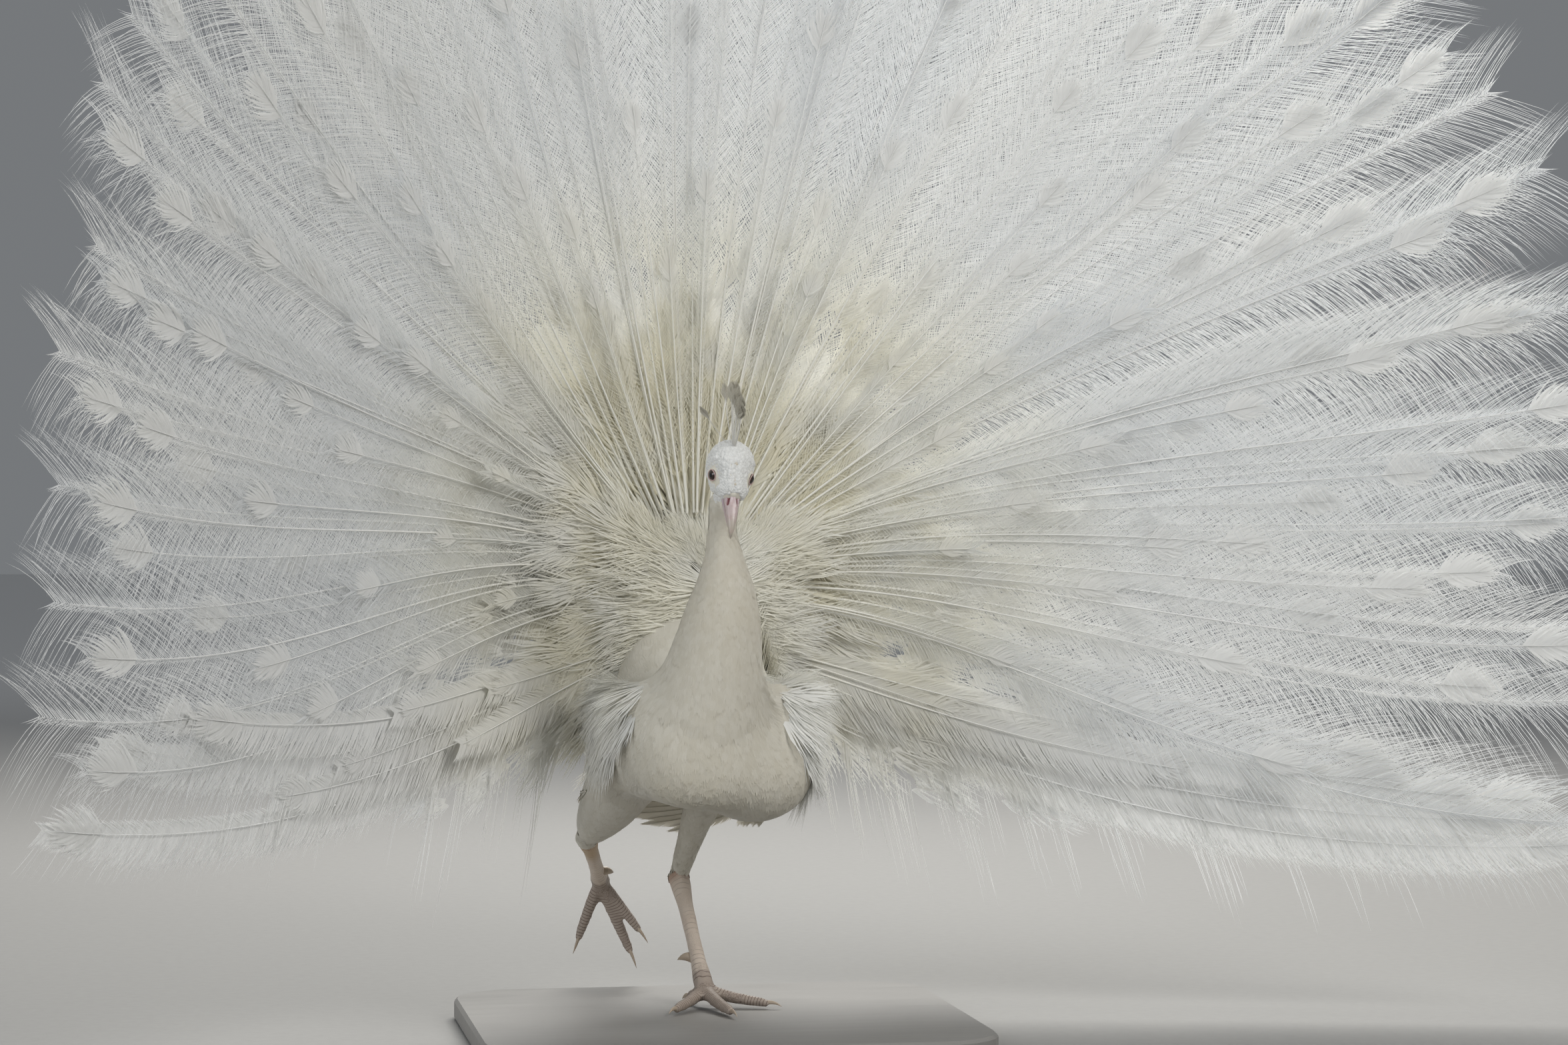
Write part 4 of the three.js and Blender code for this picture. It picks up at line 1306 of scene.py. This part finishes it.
DOWN = [  # feathers, their range of side, how far out they reach, how much they hang, and lift in millimetres
    (440, -0.9, 0.9, 0.26, 0.1, -2),
    (460, -0.98, 0.98, 0.30, 0.15, 7),
    (260, -1.0, -0.55, 0.16, 0.4, 16),
    (420, -1.0, -0.62, 0.50, 0.5, -2),
    (420, 0.62, 1.0, 0.50, 0.5, -2),
]


def make_down(material):
    """Soft feathers behind the shafts: all round the hub, and over the flanks and the train's lower edge."""
    plumage = Plumage()
    for n, from_side, to_side, far, sink, lift in DOWN:
        share = rng.uniform(0, 1, n) ** 1.35
        t = 0.01 + far * share
        side = rng.uniform(from_side, to_side, n)
        root, across, out, front = fan_frame(side, t, lift * MM + 0 * t)
        hang = sink * rng.uniform(0.1, 1.4, n)[:, None]
        lie = unit(out - UP * hang + 0.15 * across * rng.normal(0, 1, (n, 1)))
        normal = tangent_of(front + 0.25 * UP + 0.08 * rng.normal(0, 1, (n, 3)), lie)
        length = rng.uniform(0.040, 0.085, n) * (1 - 0.3 * share)
        soft_plumes(plumage, root, lie, normal, length, 0.55, 0.02, fan_home(side, t), 0.4, 13, 0.35)
    wear(plumage.build("train_down", material, own_normals=True), "train")


# ---- the face
def ring_faces(n, m, joined=False):
    """Faces between n rings of m points each. joined says that the last ring meets the first."""
    return [
        (j * m + i, j * m + (i + 1) % m, (j + 1) % n * m + (i + 1) % m, (j + 1) % n * m + i)
        for j in range(n if joined else n - 1)
        for i in range(m)
    ]


def closed_loft(name, rings, material):
    """A closed mesh through rings (n, m, 3), with a fan of faces at each end."""
    n, m = rings.shape[:2]
    vertices = np.concatenate([rings.reshape(-1, 3), rings[0].mean(0)[None], rings[-1].mean(0)[None]])
    faces = ring_faces(n, m)
    for i in range(m):
        k = (i + 1) % m
        faces.append((n * m, k, i))
        faces.append((n * m + 1, (n - 1) * m + i, (n - 1) * m + k))
    mesh = bpy.data.meshes.new(name)
    mesh.from_pydata(vertices.tolist(), [], faces)
    whole = bmesh.new()
    whole.from_mesh(mesh)
    bmesh.ops.recalc_face_normals(whole, faces=whole.faces)
    whole.to_mesh(mesh)
    whole.free()
    return add_object(name, mesh, material)


def through(rows, n):
    """n rows on a smooth curve through the given rows."""
    rows = np.asarray(rows, float)
    at = np.linspace(0, len(rows) - 1, n)
    k = np.clip(at.astype(int), 0, len(rows) - 2)
    t = (at - k)[:, None]
    before = rows[np.maximum(k - 1, 0)]
    after = rows[np.minimum(k + 2, len(rows) - 1)]
    p, q = rows[k], rows[k + 1]
    a, b = (q - before) / 2, (after - p) / 2
    keep, leave, reach, land = 2 * t**3 - 3 * t**2 + 1, t**3 - 2 * t**2 + t, 3 * t**2 - 2 * t**3, t**3 - t**2
    return keep * p + leave * a + reach * q + land * b


# Rows of each half of the bill in the head's frame: forward, top, bottom, half width.
BILL = {
    "upper": [
        (16, 3.4, -7.6, 7.0),
        (22, 4.4, -7.9, 7.4),
        (28, 4.4, -8.2, 7.4),
        (34, 3.0, -8.7, 6.9),
        (41, 0.2, -9.6, 5.9),
        (48, -2.6, -10.8, 5.1),
        (54.5, -5.8, -12.6, 3.9),
        (60, -9.4, -15.0, 2.7),
        (64, -13.0, -17.4, 1.5),
        (65.4, -16.6, -18.6, 0.5),
    ],
    "lower": [
        (16, -8.2, -14.2, 6.6),
        (26, -8.9, -14.4, 6.7),
        (36, -9.9, -14.5, 5.8),
        (46, -11.4, -15.2, 4.3),
        (54, -13.4, -16.2, 2.6),
        (58, -15.0, -16.6, 1.2),
    ],
}
NOSTRIL = (4.0, 34.5, 2.0), (5.0, 40, -0.8)  # its two ends


def power_of(x, power):
    """A power that keeps the sign."""
    return np.sign(x) * np.abs(x) ** power


def make_bill(material):
    """Both halves of the bill, with nostrils, cere and the line of the gape."""
    angle = np.arange(64) * 2 * np.pi / 64
    for name, rows in BILL.items():
        upper = name == "upper"
        forward, top, bottom, wide = through(rows, 84).T[:, :, None]
        middle, high = (top + bottom) / 2, (top - bottom) / 2
        x = wide * power_of(np.sin(angle), 0.85)
        up = middle + high * power_of(np.cos(angle), 1.0 if upper else 0.75)
        points = np.stack([x, forward + 0 * x, up], -1)
        slit = np.zeros(x.shape)
        if upper:
            mirrored = np.abs(points) * [1, 0, 0] + points * [0, 1, 1]
            away = near_segment(mirrored.reshape(-1, 3), *NOSTRIL).reshape(x.shape)
            # painted shade: the nostril slit is coloured dark, for the shade inside the opening
            slit = smooth_step(away, 1.7, 1.0)
            rim = bell(away - 2.4, 0.8)
            sunk = np.sign(x) * (0.25 * rim - 1.3 * slit)
            points = points + np.stack([sunk, 0 * x, 0.35 * rim - 0.7 * slit], -1)
            cere = smooth_step(forward, 36, 28) + 0 * x
            lump = cere * np.clip(np.cos(angle), 0, 1) * (1 - slit)
            points[..., 2] += 0.5 * lump * np.cos(x * 0.9) ** 2
        piece = closed_loft(f"bill_{name}_horn", on_head(points), material)
        # painted shade along the gape, where the two halves of the bill meet
        edge = smooth_step(np.cos(angle) * (-1 if upper else 1), 0.45, 0.8)
        slit = np.maximum(slit, 0.7 * edge * smooth_step(forward, 60, 50))
        point_attribute(piece.data, "slit", np.append(slit, [0.0, 0.0]))
        tip = np.clip((forward - 22) / 42, 0, 1) + 0 * x
        point_attribute(piece.data, "tip", np.append(tip, [0.0, 1.0]))
        wear(piece, "horn", f"bill_{name}")


def make_claws(material):
    """Curved horn, set into the end of each toe and the back of each shank."""
    for name in [*CLAWS, "spur_left", "spur_right"]:
        base, axis, length, wide = claw_shape(name)
        upper = tangent_of(UP if "left" in name else np.array([0.0, -0.9, 0.2]), axis)
        across = np.cross(axis, upper)
        t = np.linspace(-0.3, 1, 22)[:, None]
        line = base + axis * length * t + upper * length * (0.42 * t * (1 - t))
        radius = np.maximum(wide, 2.2 * MM) * np.clip(1 - np.maximum(t, 0), 0.03, 1) ** 0.7
        radius = radius * (0.80 + 0.20 * smooth_step(t, -0.3, 0.05))
        angle = np.arange(16) * 2 * np.pi / 16
        ring = 0.78 * np.cos(angle)[:, None] * across + np.sin(angle)[:, None] * upper
        rows = line[:, None] + radius[:, None] * ring
        wear(closed_loft(f"{name}_horn", rows, material), "claw", name)


def make_eyes(ball, lid):
    """Each eyeball and the lids round it."""
    around, section = np.arange(40) * 2 * np.pi / 40, np.arange(8) * 2 * np.pi / 8
    for hand, name in SIDES:
        centre = EYE_AT * [hand, 1, 1]
        gaze = gaze_of(hand)
        ahead = tangent_of(np.array([0.0, 1.0, 0.0]), gaze)
        above = np.cross(gaze, ahead) * hand
        angle = np.radians(np.linspace(1.5, 150, 40))[:, None]
        radius = EYE_RADIUS + 0.35 * bell(angle, np.radians(24))  # with the cornea's bulge
        ring = np.cos(around)[:, None] * ahead + np.sin(around)[:, None] * above
        outward = np.cos(angle)[..., None] * gaze + np.sin(angle)[..., None] * ring
        eye = closed_loft(f"eye_{name}_ball", on_head(centre + radius[..., None] * outward), ball)
        point_attribute(eye.data, "open", np.append(np.repeat(angle, 40), [0.0, np.pi]))
        wear(eye, "eye", f"eye_{name}")
        # the lids: a fleshy rim round the opening, thicker below
        rows = []
        for a in np.arange(48) * 2 * np.pi / 48:
            spread = EYE_OPENING * (1 - 0.14 * np.abs(np.sin(a)) ** 2)
            out = np.cos(a) * ahead + np.sin(a) * above
            place = centre + (EYE_RADIUS + 0.35) * (np.cos(spread) * gaze + np.sin(spread) * out)
            thick = 0.40 + 0.26 * max(0, -np.sin(a))
            outward, level = unit(place - centre), unit(np.cross(place - centre, np.cross(gaze, out)))
            round_it = np.cos(section)[:, None] * outward + 1.3 * np.sin(section)[:, None] * level
            rows.append(place + thick * round_it)
        mesh = bpy.data.meshes.new(f"eyelid_{name}")
        places = on_head(np.concatenate(rows)).tolist()
        mesh.from_pydata(places, [], ring_faces(len(rows), len(section), joined=True))
        wear(add_object(f"eyelid_{name}", mesh, lid), "plumage")


CREST_SHAFTS, WEB_FROM = 16, 0.76  # how many in the fan, and the share of a shaft where its web starts


def make_crest(material):
    """Bare shafts fanned fore and aft over the crown, each with a webbed tip."""
    plumage = Plumage()
    root = on_head((0, -8, 16.5))
    ahead = np.array([np.sin(np.radians(2)), -np.cos(np.radians(2)), 0])
    left = np.array([1.0, 0.0, 0.0])
    shafts = []  # lean, length and tilt
    for i, lean in enumerate(np.linspace(-10, 46, CREST_SHAFTS)):
        shafts.append((lean, 60 - 9 * i / 15 + rng.normal(0, 1.5), rng.normal(0, 3)))
    shafts.append((8, 48, -38))  # one that has slipped to the side
    for lean, reach, tilt in shafts:
        lean, tilt = np.radians(lean + rng.normal(0, 1.5)), np.radians(tilt)
        out = unit(np.sin(lean) * ahead + np.cos(lean) * (np.cos(tilt) * UP + np.sin(tilt) * left))
        web = unit(np.cos(lean) * ahead - np.sin(lean) * UP + rng.uniform(0.9, 1.6) * left)
        web = tangent_of(web, out)
        share = np.linspace(0, 1, 10)[:, None]
        bow = 4 * share * (1 - share) * rng.normal(0, 1.2)
        line = root + (out * reach * share + web * bow) * MM
        home = np.array([0.5 + 0.4 * lean, 0.2])
        plumage.tube(line, np.linspace(0.42, 0.2, 10) * MM, 5, home, 0.0)
        t = np.concatenate([np.linspace(0.12, 0.75, 20), np.linspace(WEB_FROM, 1.0, 60)])
        start = root + (out * reach * t[:, None] + web * (4 * t * (1 - t))[:, None] * bow.max()) * MM
        dense = smooth_step(t, WEB_FROM, 0.83)
        length = (1.2 + (5.6 - 14 * np.abs(t - 0.88)) * dense) * MM
        angle = np.radians(30 + 26 * dense - 46 * smooth_step(t, 0.86, 1.0))
        width = np.where(dense > 0.5, 0.9, 0.22) * MM
        for hand in (-1, 1):
            every = (np.repeat(v[None], len(t), 0) for v in (out, hand * web, unit(np.cross(web, out)), home))
            out_all, across, front, homes = every
            barbs(plumage, start, out_all, across, front, length, angle, angle * 0.5, width, 0 * t, 0 * t,
                  homes, 0.35 + 0.65 * dense, 4)
    wear(plumage.build("crest_feathers", material), "crest", "crest")


# ---- materials of the body
def coat_colour(s, shade):
    """White, drawn darker and warmer over the whole body as painted shade, warmer on the throat, and darker
    beige low on the front of the breast: partly dirt, partly painted shade where it turns under.
    """
    place = s.node("ShaderNodeSeparateXYZ")
    s.put(place.inputs[0], s.place)
    low = s.span(place.outputs[2], 0.20, 0.36, 1.0, 0.0)
    front = s.span(place.outputs[1], -0.16, -0.05, 1.0, 0.0)
    # darker beige low on the front of the breast: partly dirt, partly painted shade where the breast turns under
    dirt_and_shade = s.times(s.times(low, front), s.span(s.noise(22, 4), 0.3, 0.7, 0.5, 1.0))
    # painted shade: both tones are darker and warmer than the white plumage itself, for the shade and warm
    # bounce light the body lies in
    colour = s.mix(shade, (0.80, 0.77, 0.685), (0.74, 0.705, 0.61))
    colour = s.mix(s.times(dirt_and_shade, 0.75), colour, (0.64, 0.58, 0.44))
    throat = s.span(s.distance(in_bird((-8, -150, 400))), 0.03, 0.15, 1.0, 0.0)
    throat = s.times(throat, s.noise(60, 3))
    return s.mix(s.times(throat, 0.7), colour, (0.66, 0.60, 0.47))


def coat_material():
    s = Shader("coat")
    return s.finish(coat_colour(s, s.attribute("shade")), 0.75, through=0.2, sheen=0.2, specular=0.2)


def skin_material():
    """Pale where feathers cover it, horny scutes on the legs and toes."""
    s = Shader("skin")
    bare, toe = s.attribute("bare"), s.attribute("toe")
    along = s.attribute("along")
    uneven = s.math("ADD", along, s.times(s.noise(45, 2), 0.006))
    lines = []
    for pitch, thin in ((0.0052, 0.10), (0.0030, 0.16)):
        rows = s.math("FRACT", s.math("DIVIDE", uneven, pitch))
        before, after = s.span(rows, 0.0, thin, 1.0, 0.0), s.span(rows, 1 - thin, 1.0, 0.0, 1.0)
        lines.append(s.math("MAXIMUM", before, after))
    mosaic = s.span(s.cells(560), 0.0, 0.10, 0.8, 0.0)
    side = s.span(s.noise(38, 2), 0.52, 0.60)
    groove = s.mix(toe, s.mix(side, lines[0], s.times(mosaic, 0.5)), s.mix(side, lines[1], mosaic))
    near_foot = s.span(along, 0.075, 0.14)
    groove = s.times(groove, s.math("ADD", 0.35, s.times(near_foot, 0.45)))
    shank = s.mix(s.noise(70, 5), (0.62, 0.51, 0.42), (0.73, 0.64, 0.55))
    # painted shade: the raised leg's upper shank turns darker ochre where it lies in shade
    ochre_shade = s.span(s.distance(in_bird((-106, 104, 155))), 0.03, 0.06, 0.8, 0.0)
    shank = s.mix(ochre_shade, shank, (0.50, 0.35, 0.19))
    # painted shade: dark red-brown at the top of each shank, just below the thigh's feathers
    shank = s.mix(s.span(along, 0.0, 0.016, 0.8, 0.0), shank, (0.36, 0.17, 0.10))
    toes = s.mix(s.noise(60, 5), (0.33, 0.27, 0.225), (0.45, 0.375, 0.32))
    scaly = s.mix(s.math("MAXIMUM", toe, s.times(near_foot, 0.4)), shank, toes)
    scaly = s.mix(groove, scaly, (0.13, 0.085, 0.065))
    plain = coat_colour(s, s.noise(400, 4))
    colour = s.mix(bare, plain, scaly)
    height = s.math("SUBTRACT", s.noise(300, 3), s.times(groove, s.times(bare, 2.5)))
    rough = s.math("SUBTRACT", 0.7, s.times(bare, 0.22))
    return s.finish(colour, rough, s.bump(height, 0.5, 0.0006), specular=0.35)


def head_material():
    s = Shader("head_coat")
    colour = s.mix(s.attribute("shade"), (0.82, 0.82, 0.80), (0.68, 0.68, 0.66))
    brown = s.times(s.span(s.attribute("shade"), 1.0, 1.7), s.span(s.noise(160, 3), 0.3, 0.55))
    colour = s.mix(s.times(brown, 0.7), colour, (0.52, 0.40, 0.22))
    return s.finish(colour, 0.7, s.bump(s.noise(900, 3), 0.35, 0.0004), sheen=0.1, specular=0.25)


def bill_material():
    s = Shader("bill")
    tip = s.attribute("tip")
    colour = s.mix(s.span(tip, 0.12, 0.5), (0.55, 0.45, 0.50), (0.54, 0.44, 0.43))
    colour = s.mix(s.span(tip, 0.55, 0.95), colour, (0.47, 0.42, 0.35))
    colour = s.mix(s.times(s.span(s.noise(260, 4), 0.45, 0.7), 0.35), colour, (0.46, 0.28, 0.27))
    # painted shade: dark red in the nostrils and along the gape
    colour = s.mix(s.attribute("slit"), colour, (0.16, 0.012, 0.018))
    return s.finish(colour, 0.38, s.bump(s.noise(420, 4), 0.25, 0.0004), coat=0.15, specular=0.5)


def claw_material():
    s = Shader("claw")
    colour = s.mix(s.noise(120, 4), (0.52, 0.44, 0.35), (0.38, 0.29, 0.21))
    return s.finish(colour, 0.4, s.bump(s.noise(500, 3), 0.2, 0.0003), specular=0.5)


def eye_material():
    s = Shader("eye")
    angle = s.attribute("open")
    fibres = s.noise(900, 3)
    iris = s.mix(fibres, (0.045, 0.024, 0.014), (0.016, 0.009, 0.006))
    colour = s.mix(s.span(angle, 0.30, 0.36), (0.004, 0.004, 0.005), iris)
    colour = s.mix(s.span(angle, 0.66, 0.76), colour, (0.10, 0.07, 0.06))
    return s.finish(colour, 0.10, coat=0.3, specular=0.4)


def lid_material():
    s = Shader("eyelid")
    colour = s.mix(s.noise(400, 4), (0.62, 0.46, 0.42), (0.46, 0.31, 0.29))
    return s.finish(colour, 0.5, s.bump(s.noise(1200, 2), 0.3, 0.0003), specular=0.4)


def crest_material():
    s = Shader("crest")
    colour = s.mix(s.attribute("shade"), (0.86, 0.85, 0.81), (0.60, 0.565, 0.47))
    colour = s.mix(s.times(s.noise(150, 3), 0.4), colour, (0.60, 0.57, 0.50))
    return s.finish(colour, 0.6, through=0.15, sheen=0.1, specular=0.3)


def base_material():
    """Painted board: a satin grey coat over wood."""
    s = Shader("base")
    stretched = s.node("ShaderNodeMapping")
    s.put(stretched.inputs["Vector"], s.place)
    stretched.inputs["Scale"].default_value = (2.5, 30, 30)
    grain = s.noise(3, 6, 0.6, stretched.outputs["Vector"])
    colour = s.mix(grain, (0.235, 0.225, 0.21), (0.29, 0.28, 0.265))
    rough = s.span(grain, 0.2, 0.8, 0.42, 0.55)
    return s.finish(colour, rough, s.bump(grain, 0.12, 0.001), coat=0.05, specular=0.4)


# ---- the stage
FLOOR_HALF = 30.0


def make_stage():
    s = Shader("floor")
    grain = s.noise(90, 6)
    colour = s.mix(grain, (0.31, 0.305, 0.295), (0.35, 0.345, 0.335))
    # painted light: beyond 2.5 m from the middle the floor turns pale, standing in for lamp light that falls off
    # there
    colour = s.mix(s.span(s.distance((0, 0, 0)), 2.5, 8.0), colour, (0.80, 0.80, 0.80))
    mesh = bpy.data.meshes.new("floor")
    corners = [(FLOOR_HALF * x, FLOOR_HALF * y, 0) for x, y in ((-1, -1), (1, -1), (1, 1), (-1, 1))]
    mesh.from_pydata(corners, [], [(0, 1, 2, 3)])
    add_object("floor", mesh, s.finish(colour, 0.85, s.bump(grain, 0.15, 0.002)))


LAMPS = (  # name, place, size, power and colour
    ("key", (2.3, -2.9, 3.0), 2.2, 98, (1.0, 0.985, 0.955)),
    ("fill", (-3.0, -2.7, 1.7), 2.4, 58, (0.95, 0.975, 1.0)),
    ("back", (0.5, 2.3, 2.9), 2.4, 135, (1.0, 0.985, 0.95)),
)
LIT_POINT = (0.1, 0.0, 0.65)


def make_lights():
    for name, place, size, power, colour in LAMPS:
        light = bpy.data.lights.new(name, "AREA")
        light.shape = "DISK"
        light.size = size
        light.energy = power
        light.color = colour
        lamp = bpy.data.objects.new(name, light)
        lamp.location = place
        lamp.rotation_euler = (Vector(LIT_POINT) - Vector(place)).to_track_quat("-Z", "Y").to_euler()
        bpy.context.scene.collection.objects.link(lamp)
    world = bpy.data.worlds.new("studio")
    world.use_nodes = True
    sky = world.node_tree.nodes["Background"].inputs
    sky["Color"].default_value = (0.82, 0.86, 0.90, 1)
    sky["Strength"].default_value = 0.22
    bpy.context.scene.world = world
    bpy.context.scene.view_settings.view_transform = "Standard"


def make_camera():
    """Level, a little to the bird's right of straight ahead, at the height of its head."""
    heading = np.radians(-10)
    right = np.array([np.cos(heading), np.sin(heading), 0])
    forward = np.array([-np.sin(heading), np.cos(heading), 0])
    place = BIRD_AT + 0.4536 * UP - 3.3 * forward + 0.0655 * right
    data = bpy.data.cameras.new("camera")
    data.lens, data.sensor_width = 81.63, 36.0
    camera = bpy.data.objects.new("camera", data)
    camera.location = place
    camera.rotation_euler = Euler((np.pi / 2, 0, heading))
    bpy.context.scene.collection.objects.link(camera)
    bpy.context.scene.camera = camera


make_camera()
make_stage()
make_lights()
vane_finish = train_material()
coat_finish = coat_material()
make_train(vane_finish, shaft_material())
skin = make_skin(skin_material())
make_coat(skin, coat_finish)
make_head_coat(skin, head_material())
make_wings(skin, coat_finish)
fluff_finish = train_material("fluff_vane", 0.30, 0.40)
make_fluff(skin, fluff_finish)
make_primaries(coat_finish)
make_tail(train_material("tail_vane", 0.15, 0.45))
make_hub_feathers(fluff_finish)
make_down(vane_finish)
make_bill(bill_material())
make_eyes(eye_material(), lid_material())
make_crest(crest_material())
make_claws(claw_material())
nodes["stand_base"].material_slots[0].material = base_material()
